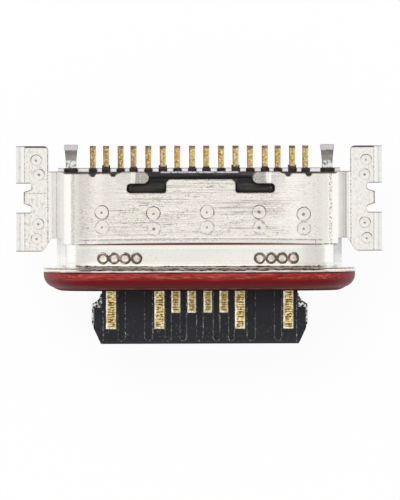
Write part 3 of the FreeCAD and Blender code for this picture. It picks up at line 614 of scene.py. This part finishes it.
def flange_shade(s, spot, color, streaks, above):
    """Painted shade along the flange's foot: a grey band with dark broken lines. Then scratches, and a
    painted highlight with a pink blush on its rim.
    """
    x, y, z = s.split(spot)
    across = s.absolute(x)
    upright = s.absolute(s.facing()[1])
    level = s.moved(y, s.noise(spot, (3.0, 7.0, 3.0), 3.0, 0.65, 15.0), 0.09)
    middle = s.ramp(across, *FLANGE_SHADE_SIDE, 1.0, 0.0)
    faces = s.product(s.ramp(upright, 0.95, 0.7), s.ramp(z, -0.5, 1.0, 0.4, 1.0))
    # A grey band of painted shade where the flange meets the collar, with dark lines below
    grey_shade = s.product(s.band(level, *FLANGE_SHADE_BAND, 0.012), faces, middle)
    color = s.paint(color, (0.265, 0.215, 0.18), grey_shade, s.ramp(streaks, 0.62, 0.40, 0.65, 0.98))
    ticks = s.noise(spot, (5.5, 16.0, 5.5), 2.0, 0.6, 25.0)
    for at, half, least in FLANGE_SHADE_LINES:
        line = s.product(s.band(level, at - half, at + half, FINE), faces, middle)
        color = s.paint(color, (0.018, 0.013, 0.010), line, s.ramp(ticks, 0.42, 0.56, least, 1.0))
    scratches = s.product(s.band(across, 3.2, 3.85, 0.1), s.band(level, *SCRATCHED, 0.01), faces)
    color = s.paint(color, (0.05, 0.045, 0.04), scratches, s.ramp(streaks, 0.44, 0.52), above)
    blush = s.ramp(s.noise(spot, (2.2, 6.0, 2.2), 2.0, 0.6, 35.0), 0.40, 0.58)
    blush = s.mix(blush, (0.60, 0.36, 0.30), (0.93, 0.72, 0.66))
    # Painted highlight with a pink blush on the flange's rim
    color = s.paint(color, blush, s.band(y, *RIM_HIGHLIGHT, 0.012), s.ramp(upright, 0.8, 0.5), 0.85)
    line = s.product(s.band(y, *END_LINE, FINE), s.ramp(middle, 0.0, 1.0, 1.0, 0.0), faces)
    return s.paint(color, (0.20, 0.13, 0.105), line, s.ramp(streaks, 0.38, 0.52, 0.6, 1.0))


def drawn_steel():
    """Deep-drawn stainless steel: smooth, with dark lines of painted shade at the foot of the flange."""
    s = Shader("drawn_steel")
    spot = s.place()
    x, y, z = s.split(spot)
    above = s.ramp(z, *UPPER_HALF)
    patches = s.noise(spot, (0.8, 2.2, 2.2), 3.0, 0.6)
    streaks = s.noise(spot, (9.0, 34.0, 9.0), 2.0, 0.65, 5.0)
    color = s.mix(s.ramp(patches, 0.35, 0.65), (0.88, 0.865, 0.795), (0.94, 0.915, 0.865))
    color = collar_bands(s, spot, color, above)
    color = flange_shade(s, spot, color, streaks, above)
    # Painted shade along the edges
    near = s.edge(0.05)[0]
    color = s.paint(color, (0.12, 0.09, 0.075), s.ramp(near, 0.2, 0.6), 0.45)
    s.bump(s.math("MULTIPLY_ADD", streaks, 0.5, s.math("MULTIPLY", patches, 0.5)), 0.0012)
    foot = s.product(s.band(y, 0.74, 0.88, 0.02), above, 0.35)
    shoulder = s.product(s.ramp(s.absolute(x), 4.08, 4.16), s.ramp(y, 1.0, 1.2), 0.4)
    rough = s.math("ADD", s.math("MULTIPLY_ADD", patches, 0.10, 0.13), s.math("MAXIMUM", foot, shoulder))
    return s.finish(color, rough, 1.0)


def seal_crown_highlights(s, spot, y, color, streaks):
    """Painted highlights: a pink blush and slanting light and dark streaks along the crown of the seal, and
    fainter streaks below it.
    """
    crown = s.band(y, *CROWN, 0.04)
    pink = s.noise(spot, (0.55, 2.0, 2.0), 2.0, 0.5, 14.0)
    blush = s.product(s.band(y, *PINK_HIGHLIGHT, 0.05), s.ramp(pink, 0.50, 0.62, 0.0, 0.6))
    color = s.mix(blush, color, (0.37, 0.045, 0.055))
    color = s.paint(color, (0.21, 0.012, 0.009), crown, s.ramp(pink, 0.48, 0.36, 0.0, 0.45))
    color = s.paint(color, (0.56, 0.13, 0.11), crown, s.ramp(streaks, 0.52, 0.64, 0.0, 0.6))
    color = s.paint(color, (0.115, 0.006, 0.004), crown, s.ramp(streaks, 0.47, 0.36, 0.0, 0.65))
    below = s.ramp(y, 0.36, 0.28)
    return s.paint(color, (0.20, 0.010, 0.007), below, s.ramp(streaks, 0.52, 0.68, 0.0, 0.35))


def silicone():
    """Dark red silicone with a satin skin, with painted light and shade: a bright streaked crown, painted
    reflections at its ends, and painted shade near black at the front.
    """
    s = Shader("silicone")
    spot = s.place()
    x, y, z = s.split(spot)
    across = s.absolute(x)
    clouds = s.noise(spot, (1.3, 5.0, 2.0), 4.0, 0.6)
    slant = s.add("CombineXYZ", {0: x, 1: s.math("MULTIPLY_ADD", x, 0.05, y), 2: z}).outputs[0]
    streaks = s.noise(slant, (2.6, 22.0, 12.0), 3.0, 0.65, 4.0)
    # Painted light and shade across the seal: near black at the front, bright on the crown, and a dark line
    # at the rear
    color = s.colors(s.moved(y, clouds, 0.09), [
        (0.0, (0.020, 0.003, 0.002)), (0.05, (0.050, 0.0045, 0.003)), (0.14, (0.105, 0.0035, 0.0025)),
        (0.30, (0.128, 0.0048, 0.0034)), (0.39, (0.23, 0.016, 0.012)), (0.45, (0.35, 0.038, 0.029)),
        (0.525, (0.32, 0.033, 0.024)), (0.55, (0.10, 0.010, 0.008)), (0.575, (0.02, 0.003, 0.003)),
    ])
    color = seal_crown_highlights(s, spot, y, color, streaks)
    # A greyer tone towards the front
    greyer_front = s.product(s.ramp(y, 0.16, 0.04), s.ramp(clouds, 0.44, 0.60, 0.0, 0.6))
    color = s.mix(greyer_front, color, (0.115, 0.030, 0.020))
    # Painted reflection on the bent ends of the seal
    color = s.paint(color, (0.165, 0.038, 0.048), s.ramp(across, *SEAL_END_REFLECTION, 0.0, 0.65))
    glint = s.product(s.band(y, *GLINT, 0.010), s.ramp(across, 4.2, 3.9), s.upward(), s.ramp(z, 1.0, 1.4))
    color = s.paint(color, (0.24, 0.14, 0.10), glint, s.ramp(streaks, 0.42, 0.55, 0.1, 0.55))
    # Painted shade: near black along the seal's front lip
    color = s.paint(color, (0.004, 0.002, 0.0015), s.ramp(y, *LIP_SHADE), s.ramp(across, 4.4, 4.1))
    grain = s.noise(spot, (24.0, 24.0, 24.0), 3.0, 0.6, 8.0)
    s.bump(s.math("MULTIPLY_ADD", streaks, 0.6, s.math("MULTIPLY", grain, 0.4)), 0.005)
    rough = s.math("ADD", s.math("MULTIPLY_ADD", streaks, 0.2, 0.34), s.ramp(y, 0.10, 0.02, 0.0, 0.4))
    return s.finish(color, rough, 0.0, Specular_IOR_Level=0.11)


def channel_lines(s, across, y):
    """One along the outlines of the shallow channels in the tongue, and along its side steps."""
    lines = s.product(s.band(across, *TONGUE_STEP, FINE), 0.8)
    for middle, half in CHANNELS:
        aside = s.math("SUBTRACT", across, middle)
        ahead = s.math("MINIMUM", s.math("SUBTRACT", y, CHANNEL_TIP + half), 0.0)
        reach = s.math("SQRT", s.math("ADD", s.product(aside, aside), s.product(ahead, ahead)))
        off = s.absolute(s.math("SUBTRACT", reach, half))
        lines = s.math("MAXIMUM", lines, s.ramp(off, 0.030, 0.010))
    return lines


def tongue_marks(s, spot, color):
    """Broken pale lines along the channels and the nose, scratches near it and the steps' rims."""
    x, y, z = s.split(spot)
    across = s.absolute(x)
    faces = s.product(s.ramp(s.absolute(z), *TONGUE_FACE), s.ramp(y, *TONGUE_REAR, 1.0, 0.0))
    dots = s.noise(spot, (19.0, 11.0, 19.0), 2.0, 0.7, 2.0)
    gaps = s.noise(spot, (1.7, 2.2, 1.7), 2.0, 0.6, 32.0)
    front = s.ramp(s.ramp(y, -0.5, -1.35), 0.0, 1.0, 0.0, 0.8)
    seen = s.math("MAXIMUM", s.ramp(gaps, 0.42, 0.56, 0.25, 1.0), front)
    lines = channel_lines(s, across, y)
    color = s.paint(color, (0.17, 0.175, 0.18), lines, s.ramp(dots, 0.44, 0.58, 0.10, 1.0), seen, faces)
    color = s.paint(color, (0.50, 0.51, 0.52), lines, s.ramp(dots, 0.60, 0.68), faces)
    nose = s.product(s.band(y, *NOSE_LINE, FINE), s.ramp(across, 1.6, 1.3), faces)
    color = s.paint(color, (0.09, 0.09, 0.11), nose, s.ramp(dots, 0.48, 0.60, 0.0, 0.6))
    scratch = s.ramp(s.noise(spot, (9.0, 9.0, 9.0), 3.0, 0.75, 66.0), 0.60, 0.68)
    color = s.paint(color, (0.13, 0.13, 0.16), scratch, faces, s.ramp(y, -0.7, -1.2), 0.5)
    rim = s.product(s.ramp(across, *STEP_SIDE), s.band(y, *STEP_RIM, 0.08))
    return s.paint(color, (0.52, 0.53, 0.48), rim, s.ramp(dots, 0.36, 0.50))


def insulator_neck(s, spot, color, specks):
    """Painted sheen on the upward faces of the neck behind the tongue, and the pocket under the lock tabs,
    with a glint at its sides.
    """
    x, y, z = s.split(spot)
    streaks = s.noise(spot, (1.2, 12.0, 6.0), 3.0, 0.6, 36.0)
    # Painted sheen: lighter streaks on the neck, mostly on faces that look up
    neck_sheen = s.mix(s.ramp(streaks, 0.40, 0.62), (0.034, 0.034, 0.035), (0.105, 0.104, 0.097))
    color = s.paint(color, neck_sheen, s.ramp(y, *NECK_START), s.ramp(s.upward(), 0.0, 1.0, 0.35, 0.9))
    pocket = s.product(s.band(y, *POCKET, 0.015), s.ramp(z, 0.9, 1.1))
    shade = s.mix(s.ramp(streaks, 0.35, 0.65), (0.018, 0.017, 0.015), (0.052, 0.048, 0.042))
    color = s.mix(pocket, color, shade)
    glint = s.product(pocket, s.band(s.absolute(x), *POCKET_GLINT, 0.012))
    return s.paint(color, (0.30, 0.29, 0.27), glint, s.ramp(specks, 0.48, 0.60, 0.0, 0.8))


def insulator_rear(s, spot, color):
    """Stained blocks that carry the tails, pale end blocks and sill, and painted shade in the corners of the
    neck.
    """
    x, y, z = s.split(spot)
    across = s.absolute(x)
    upward = s.upward()
    stains = s.noise(spot, (7.0, 7.0, 7.0), 3.0, 0.65, 46.0)
    blocks = s.product(s.ramp(y, *BLOCK_REAR), s.ramp(stains, 0.42, 0.60, 0.1, 0.85))
    color = s.mix(blocks, color, (0.060, 0.040, 0.030))
    end_side, end_rear = END_BLOCK
    ends = s.product(s.ramp(y, *end_rear), s.ramp(across, *end_side), s.ramp(z, 0.45, 0.55))
    color = s.paint(color, (0.30, 0.24, 0.195), ends, upward)
    sill = s.product(s.band(y, *SILL, FINE), s.ramp(across, *SILL_SIDE), upward)
    color = s.paint(color, (0.80, 0.79, 0.86), sill, s.ramp(stains, 0.38, 0.48, 0.3, 1.0))
    corner_side, corner_depth = NECK_CORNER_SHADE
    # Painted shade in the corners of the neck
    shade_corner = s.product(s.band(across, *corner_side, 0.03), s.band(y, *corner_depth, 0.03), upward)
    return s.paint(color, (0.004, 0.004, 0.005), shade_corner, 0.9)


def black_moulding():
    """Black moulded plastic, with broken pale lines along the edges that the mould left."""
    s = Shader("black_moulding")
    spot = s.place()
    y = s.split(spot)[1]
    clouds = s.noise(spot, (2.0, 3.0, 3.0), 4.0, 0.65)
    tint = s.noise(spot, (1.5, 1.1, 1.5), 2.0, 0.5, 23.0)
    specks = s.noise(spot, (17.0, 17.0, 17.0), 2.0, 0.6, 6.0)
    color = s.mix(clouds, (0.0085, 0.0085, 0.0095), (0.020, 0.0205, 0.0225))
    color = s.paint(color, (0.016, 0.0155, 0.025), s.ramp(tint, 0.44, 0.62, 0.0, 0.7))
    color = tongue_marks(s, spot, color)
    color = s.paint(color, (0.075, 0.076, 0.08), s.ramp(specks, 0.64, 0.72, 0.0, 0.6))
    color = insulator_neck(s, spot, color, specks)
    # Painted shade in hollows and under overhangs
    depth = s.product(s.ramp(s.hollow(0.20), 0.10, 0.34), s.ramp(y, -0.2, 0.2, 0.35, 0.97))
    color = s.mix(depth, color, (0.001, 0.0008, 0.0007))
    color = insulator_rear(s, spot, color)
    # Painted highlight along the edges
    near = s.edge(0.035)[0]
    color = s.paint(color, (0.055, 0.055, 0.06), s.ramp(near, 0.3, 0.8), 0.30)
    s.bump(s.math("MULTIPLY_ADD", specks, 0.6, s.math("MULTIPLY", clouds, 0.4)), 0.003)
    return s.finish(color, s.math("MULTIPLY_ADD", clouds, 0.2, 0.40), 0.0, Specular_IOR_Level=0.2)


def plate_steel():
    """Stamped plate: bright pitted latch edges, matt grey legs with a lighter tinned tip."""
    s = Shader("plate_steel")
    spot = s.place()
    y = s.split(spot)[1]
    clouds = s.noise(spot, (6.0, 8.0, 6.0), 4.0, 0.65)
    pits = s.noise(spot, (13.0, 10.0, 13.0), 2.0, 0.6, 12.0)
    color = s.mix(s.ramp(pits, 0.42, 0.51), (0.97, 0.97, 0.95), (0.075, 0.075, 0.07))
    root = s.mix(s.ramp(pits, 0.46, 0.60), (0.86, 0.84, 0.81), (0.27, 0.25, 0.22))
    color = s.paint(color, root, s.ramp(y, *LATCH_END))
    leg = s.mix(s.ramp(y, *LEG_SHADE), (0.29, 0.275, 0.26), (0.17, 0.16, 0.15))
    leg = s.paint(leg, (0.40, 0.38, 0.36), s.ramp(clouds, 0.45, 0.70, 0.0, 0.55))
    color = s.paint(color, leg, s.ramp(s.moved(y, clouds, 0.10), *LEG_START))
    tin = s.mix(clouds, (0.42, 0.41, 0.42), (0.74, 0.72, 0.73))
    color = s.paint(color, tin, s.ramp(s.moved(y, clouds, 0.04), *LEG_TIP))
    # Painted shade along the edges
    near = s.edge(0.045)[0]
    color = s.paint(color, (0.10, 0.095, 0.09), s.ramp(near, 0.15, 0.6), 0.75)
    s.bump(clouds, 0.004)
    return s.finish(color, s.math("MULTIPLY_ADD", clouds, 0.2, 0.26), 1.0)


def pad_gold(s, spot, ribs):
    """Colour of the ribbed pads, and where their bevelled borders lie, which get a pale painted highlight.
    """
    x, y = s.split(spot)[:2]
    rungs = s.noise(spot, (7.0, 25.0, 4.0), 1.0, 0.5, 41.0)
    blots = s.noise(spot, (12.0, 8.0, 9.0), 3.0, 0.65, 5.0)
    turn = s.math("MULTIPLY_ADD", y, 2 * math.pi / RIB_PITCH, s.math("MULTIPLY", blots, 9.0))
    rib = s.product(s.ramp(s.math("SINE", turn), -0.4, 0.4), s.ramp(ribs, 0.38, 0.55, 0.35, 1.0))
    color = s.mix(rib, (0.13, 0.075, 0.012), (0.98, 0.74, 0.27))
    color = s.paint(color, (1.0, 0.89, 0.50), s.ramp(rungs, 0.54, 0.62, 0.0, 0.8))
    color = s.paint(color, (0.15, 0.095, 0.022), s.ramp(blots, 0.50, 0.62, 0.0, 0.85))
    color = s.paint(color, (0.26, 0.175, 0.045), s.ramp(s.absolute(x), *SHORT_PADS), 0.5)
    near, way = s.edge(0.06)
    sloping = s.ramp(s.absolute(s.facing()[2]), 0.95, 0.85)
    bevel_highlight = s.math("MAXIMUM", s.ramp(near, 0.02, 0.08), sloping)
    bevel_highlight = s.product(bevel_highlight, s.ramp(way[0], 0.15, 0.35, 1.0, 0.7))
    # Painted highlight: a cream colour on the bevels
    highlight_tone = s.mix(s.ramp(blots, 0.42, 0.58), (1.0, 0.97, 0.87), (0.66, 0.52, 0.27))
    return s.mix(bevel_highlight, color, highlight_tone), bevel_highlight


def tail_gold(s, spot, grains):
    """Colour of the grainy tails, darker towards the left, with painted light on their right sides, painted
    shade on their left sides and edges, and grey-brown solder on the bevelled tips.
    """
    x, y = s.split(spot)[:2]
    hue = s.noise(spot, (1.9, 0.3, 0.3), 1.0, 0.5, 13.0)
    color = s.colors(hue, [
        (0.36, (0.56, 0.43, 0.15)), (0.45, (0.60, 0.44, 0.16)), (0.51, (0.74, 0.50, 0.23)),
        (0.60, (0.62, 0.39, 0.12)),
    ])
    color = s.paint(color, (0.31, 0.175, 0.048), s.ramp(x, -0.6, -2.2, 0.0, 0.60))
    color = s.paint(color, (1.0, 0.89, 0.55), s.ramp(grains, 0.52, 0.64, 0.0, 0.9))
    color = s.paint(color, (0.20, 0.105, 0.025), s.ramp(grains, 0.47, 0.37, 0.0, 0.85))
    near, way = s.edge(0.08)
    # Painted light on the sides of the tails that face right, painted shade on those that face left
    color = s.paint(color, (0.95, 0.78, 0.42), s.ramp(way[0], 0.0, 0.25, 0.0, 0.5))
    color = s.paint(color, (0.22, 0.115, 0.03), s.ramp(way[0], 0.05, -0.35, 0.0, 0.75))
    # Painted shade along the edges, heaviest on the left
    edge = s.product(s.ramp(near, 0.30, 0.90), s.ramp(way[0], 0.1, -0.1, 0.45, 0.95))
    color = s.mix(edge, color, (0.11, 0.06, 0.02))
    tip = s.mix(s.ramp(grains, 0.45, 0.60), (0.16, 0.095, 0.06), (0.36, 0.25, 0.18))
    return s.paint(color, tip, s.ramp(y, *TAIL_TIP, 0.0, 0.95))


def gold_plating():
    """Gold plating: ribbed pads on the tongue with a pale painted highlight on their bevels, grainy tails at
    the back.
    """
    s = Shader("gold_plating")
    spot = s.place()
    behind = s.ramp(s.split(spot)[1], *TAIL_START)
    ribs = s.noise(spot, (3.2, 20.0, 4.0), 2.0, 0.7)
    grains = s.noise(spot, (15.0, 12.0, 15.0), 3.0, 0.7, 9.0)
    pad, bevel_highlight = pad_gold(s, spot, ribs)
    tail = tail_gold(s, spot, grains)
    height = s.add("SeparateColor", {0: s.mix(behind, ribs, grains)}).outputs[0]
    # The bevels' normals are turned to look up, so that they reflect the bright sky along with the painted
    # highlight
    lit_bevel = s.product(bevel_highlight, s.math("SUBTRACT", 1.0, behind))
    upright = s.add("CombineXYZ", {0: 0.0, 1: 0.0, 2: 1.0}).outputs[0]
    facing = s.add("NewGeometry").outputs["Normal"]
    level_up = s.paint(facing, upright, lit_bevel, 0.85)
    s.set(s.bump(height, 0.005), {"Normal": level_up})
    return s.finish(s.mix(behind, pad, tail), s.math("MULTIPLY_ADD", ribs, 0.2, 0.22), 1.0)


def weld_polar(s, offset=(0.0, 0.0)):
    """Radius on a weld mark, from 0 in the middle to 1 on its rim, and the way up on it."""
    mark = s.add("UVMap").outputs[0]
    values = {0: mark, 1: (2.0, 2.0, 0.0), 2: (-1.0 - offset[0], -1.0 - offset[1], 0.0)}
    spot = s.add("VectorMath", values, operation="MULTIPLY_ADD").outputs[0]
    radius = s.add("VectorMath", {0: spot}, operation="LENGTH").outputs["Value"]
    return radius, s.split(spot)[1]


def spot_weld():
    """Flat round mark in the brushed steel, with a dot. Its thin dark rim is broken, most in front."""
    s = Shader("spot_weld")
    spot = s.place()
    y, z = s.split(spot)[1:]
    on_cover = s.ramp(z, *EARS_TO_COVER)
    ragged = s.noise(spot, (6.0, 6.0, 6.0), 3.0, 0.6, 51.0)
    radius, up = weld_polar(s)
    front_row = s.product(s.ramp(y, *WELD_ROWS, 1.0, 0.0), on_cover)
    shift = s.math("SUBTRACT", ragged, 0.5)
    radius = s.math("MULTIPLY_ADD", shift, s.math("MULTIPLY_ADD", front_row, 0.9, 0.08), radius)
    calm = s.product(s.ramp(radius, 0.90, 0.80), s.ramp(ragged, 0.35, 0.55, 0.35, 0.8))
    center = s.mix(s.ramp(up, -0.5, 0.7), (0.93, 0.87, 0.83), (0.86, 0.83, 0.75))
    color = s.paint(cover_color(s, spot), center, calm)
    rows = s.product(s.ramp(y, *WELD_ROWS, 0.50, 1.0), on_cover)
    arc = s.product(s.ramp(up, -0.3, 0.5, 0.50, 1.15), s.ramp(z, *EARS_TO_COVER, 1.0, 0.0))
    broken = s.ramp(s.noise(spot, (4.0, 4.0, 4.0), 1.0, 0.5, 61.0), 0.36, 0.58, 0.35, 1.0)
    rim = s.product(s.band(radius, 0.87, 1.10, 0.03), broken, s.math("ADD", rows, arc))
    color = s.mix(rim, color, (0.13, 0.11, 0.09))
    dot = s.moved(weld_polar(s, (-0.03, -0.04))[0], ragged, 0.6)
    color = s.paint(color, (0.20, 0.17, 0.15), s.ramp(dot, 0.26, 0.08, 0.0, 0.85))
    s.bump(sheet_grain(s, spot), 0.0015)
    return s.finish(color, 0.22, 1.0)


def ring_weld():
    """Ring of dark melted steel round a bright pool, drawn in a little on its upper side."""
    s = Shader("ring_weld")
    spot = s.place()
    ragged = s.noise(spot, (8.0, 8.0, 8.0), 3.0, 0.65, 71.0)
    hue = s.noise(spot, (4.0, 4.0, 4.0), 2.0, 0.5, 73.0)
    radius, up = weld_polar(s)
    radius = s.math("ADD", radius, s.ramp(ragged, 0.36, 0.64, -0.10, 0.10))
    radius = s.math("MULTIPLY_ADD", s.math("MAXIMUM", up, 0.0), 0.08, radius)
    color = s.colors(radius, [
        (0.0, (0.62, 0.58, 0.52)), (0.12, (0.80, 0.74, 0.66)), (0.36, (0.90, 0.84, 0.77)),
        (0.50, (0.60, 0.52, 0.44)), (0.58, (0.13, 0.10, 0.075)), (0.68, (0.055, 0.042, 0.032)),
        (0.79, (0.22, 0.175, 0.14)), (0.88, (0.055, 0.042, 0.032)), (0.96, (0.14, 0.11, 0.09)),
        (1.0, (0.50, 0.43, 0.38)),
    ])
    pool = s.ramp(radius, 0.70, 0.50)
    glow = s.mix(s.ramp(hue, 0.4, 0.6), (0.74, 0.52, 0.47), (0.72, 0.68, 0.48))
    color = s.paint(color, glow, pool, s.ramp(ragged, 0.45, 0.60, 0.0, 0.75))
    color = s.paint(color, (0.40, 0.37, 0.30), pool, s.ramp(hue, 0.56, 0.66, 0.0, 0.7))
    color = s.paint(color, (0.42, 0.34, 0.28), s.ramp(radius, 0.52, 0.60), s.ramp(hue, 0.47, 0.38, 0.0, 0.6))
    s.bump(ragged, 0.004)
    return s.finish(color, 0.30, 1.0)


def obround_height(x, top):
    """Height, in millimetres, of a sheet that lies round the mouth and is top high in the middle."""
    beside = max(0.0, abs(x) - SPINE)
    return math.sqrt(max(0.0, top * top - beside * beside))


def cover_height(x):
    return obround_height(x, COVER_TOP)


def collar_height(x):
    return obround_height(x, COLLAR_TOP)


def ear_height(x):
    """Height of the ears, which are flat, at any X."""
    return EAR_TOP


def mark_mesh(centres, radius, profile, height_at):
    """Points and faces of round marks laid on a sheet, and each point's place on its own mark."""
    verts = []
    faces = []
    marks = []
    for cx, cy in centres:
        base = len(verts)
        phase = 5 * cx + 3 * cy
        for share, lift in profile:
            for k in range(WELD_SIDES):
                turn = 2 * math.pi * k / WELD_SIDES
                wobble = 1 + WELD_WOBBLE * math.sin(WELD_LOBES * turn + phase) * share
                x = cx + radius * share * wobble * math.cos(turn)
                y = cy + radius * share * wobble * math.sin(turn)
                verts.append((x * MM, y * MM, (height_at(x) + lift) * MM))
                marks.append((0.5 + share * math.cos(turn) / 2, 0.5 + share * math.sin(turn) / 2))
        middle = len(verts)
        verts.append((cx * MM, cy * MM, (height_at(cx) + profile[0][1]) * MM))
        marks.append((0.5, 0.5))
        for k in range(WELD_SIDES):
            after = (k + 1) % WELD_SIDES
            faces.append((middle, base + k, base + after))
            for ring in range(len(profile) - 1):
                low = base + ring * WELD_SIDES
                high = low + WELD_SIDES
                faces.append((low + k, high + k, high + after, low + after))
    return verts, faces, marks


def weld_marks(name, centres, radius, profile, height_at):
    """Low round marks with the given profile of (radius share, height), as one piece."""
    verts, faces, marks = mark_mesh(centres, radius, profile, height_at)
    mesh = bpy.data.meshes.new(name)
    mesh.from_pydata(verts, [], faces)
    layer = mesh.uv_layers.new(name="UVMap")
    for loop in mesh.loops:
        layer.data[loop.index].uv = marks[loop.vertex_index]
    mesh.polygons.foreach_set("use_smooth", [True] * len(mesh.polygons))
    piece = bpy.data.objects.new(name, mesh)
    bpy.context.scene.collection.objects.link(piece)
    return piece


def add_weld_marks(materials):
    """Spot welds on the cover and the ears, and the ring welds on the collar."""
    cover = weld_marks("cover_spot_welds", COVER_WELDS, COVER_WELD_RADIUS, SPOT_PROFILE, cover_height)
    collar = weld_marks("collar_ring_welds", RING_WELDS, RING_WELD_RADIUS, RING_PROFILE, collar_height)
    ears = weld_marks("ear_spot_welds", EAR_WELDS, EAR_WELD_RADIUS, SPOT_PROFILE, ear_height)
    kinds = (
        (cover, "spot_weld", "cover_steel"),
        (collar, "ring_weld", "drawn_steel"),
        (ears, "spot_weld", "cover_steel"),
    )
    for piece, look, slot in kinds:
        dress(piece, materials[look])
        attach(piece, "root")


def dress(piece, material):
    piece.data.materials.clear()
    piece.data.materials.append(material)


def make_materials():
    makers = (
        cover_steel, drawn_steel, silicone, black_moulding, plate_steel, gold_plating, spot_weld,
        ring_weld,
    )
    return {make.__name__: make() for make in makers}


def dress_frame(materials):
    """Gives each CAD node the finish of its slot."""
    for subpart in frame["record"]["subparts"]:
        dress(frame["nodes"][subpart["node"]], materials[subpart["material_slot"]])


def add_camera():
    """The photograph's own view, in which the origin of the object falls on MOUTH_PX."""
    view = bpy.data.cameras.new("camera")
    camera = bpy.data.objects.new("camera", view)
    bpy.context.scene.collection.objects.link(camera)
    bpy.context.scene.camera = camera
    x = (CENTRE_PX[0] - MOUTH_PX[0]) * PIXEL
    y = (MOUTH_PX[1] - CENTRE_PX[1]) * PIXEL
    aside = -CAMERA_HEIGHT * math.tan(LEAN_LEFT)
    back = CAMERA_HEIGHT * math.tan(LEAN_BACK)
    camera.location = Vector((x + aside, y + back, CAMERA_HEIGHT)) * MM
    camera.rotation_euler = (-LEAN_BACK, -LEAN_LEFT, ROLL)
    view.sensor_width = SENSOR
    view.lens = SENSOR * CAMERA_HEIGHT / (VIEW_HEIGHT_PX * PIXEL)
    view.clip_start, view.clip_end = [reach * MM for reach in CAMERA_CLIP]


def add_floor():
    """Pale floor that camera and metal see almost white, and that keeps a soft shadow."""
    size = FLOOR_HALF * MM
    mesh = bpy.data.meshes.new("floor")
    height = FLOOR_HEIGHT * MM
    corners = [(-size, -size, height), (size, -size, height), (size, size, height), (-size, size, height)]
    mesh.from_pydata(corners, [], [(0, 1, 2, 3)])
    floor = bpy.data.objects.new("floor", mesh)
    bpy.context.scene.collection.objects.link(floor)
    s = Shader("floor")
    s.finish((FLOOR_GREY,) * 3, 0.9)
    glow = s.add("Emission", {"Color": (1.0, 1.0, 1.0, 1.0), "Strength": 1.0})
    rays = s.add("LightPath")
    seen = s.math("MAXIMUM", rays.outputs["Is Camera Ray"], rays.outputs["Is Glossy Ray"])
    values = {0: s.math("MULTIPLY", seen, FLOOR_GLOW), 1: s.surface.outputs[0], 2: glow.outputs[0]}
    output = s.tree.nodes["Material Output"]
    s.set(output, {"Surface": s.add("MixShader", values).outputs[0]})
    dress(floor, s.material)


def add_surround():
    """A white surround, brightest near the horizon."""
    world = bpy.data.worlds.new("surround")
    bpy.context.scene.world = world
    world.use_nodes = True
    tree = world.node_tree
    direction = tree.nodes.new("ShaderNodeTexCoord")
    split = tree.nodes.new("ShaderNodeSeparateXYZ")
    tree.links.new(direction.outputs["Generated"], split.inputs[0])
    levels = tree.nodes.new("ShaderNodeValToRGB")
    tree.links.new(split.outputs["Z"], levels.inputs["Fac"])
    elements = levels.color_ramp.elements
    for element, (at, level) in zip(elements, (SKY_LEVELS[0], SKY_LEVELS[-1])):
        element.position = at
        element.color = (level, level, level, 1.0)
    for at, level in SKY_LEVELS[1:-1]:
        elements.new(at).color = (level, level, level, 1.0)
    tree.links.new(levels.outputs[0], tree.nodes["Background"].inputs["Color"])


def add_lamp():
    """One soft lamp from above and behind, aimed at the object."""
    lamp = bpy.data.lights.new("lamp", "AREA")
    lamp.shape = "DISK"
    lamp.size = LAMP_SIZE * MM
    lamp.energy = LAMP_WATTS
    holder = bpy.data.objects.new("lamp", lamp)
    holder.location = [value * MM for value in LAMP_PLACE]
    holder.rotation_euler = (-Vector(holder.location)).to_track_quat("-Z", "Y").to_euler()
    bpy.context.scene.collection.objects.link(holder)


add_camera()
looks = make_materials()
dress_frame(looks)
add_weld_marks(looks)
add_floor()
add_surround()
add_lamp()
bpy.context.scene.view_settings.view_transform = "Standard"
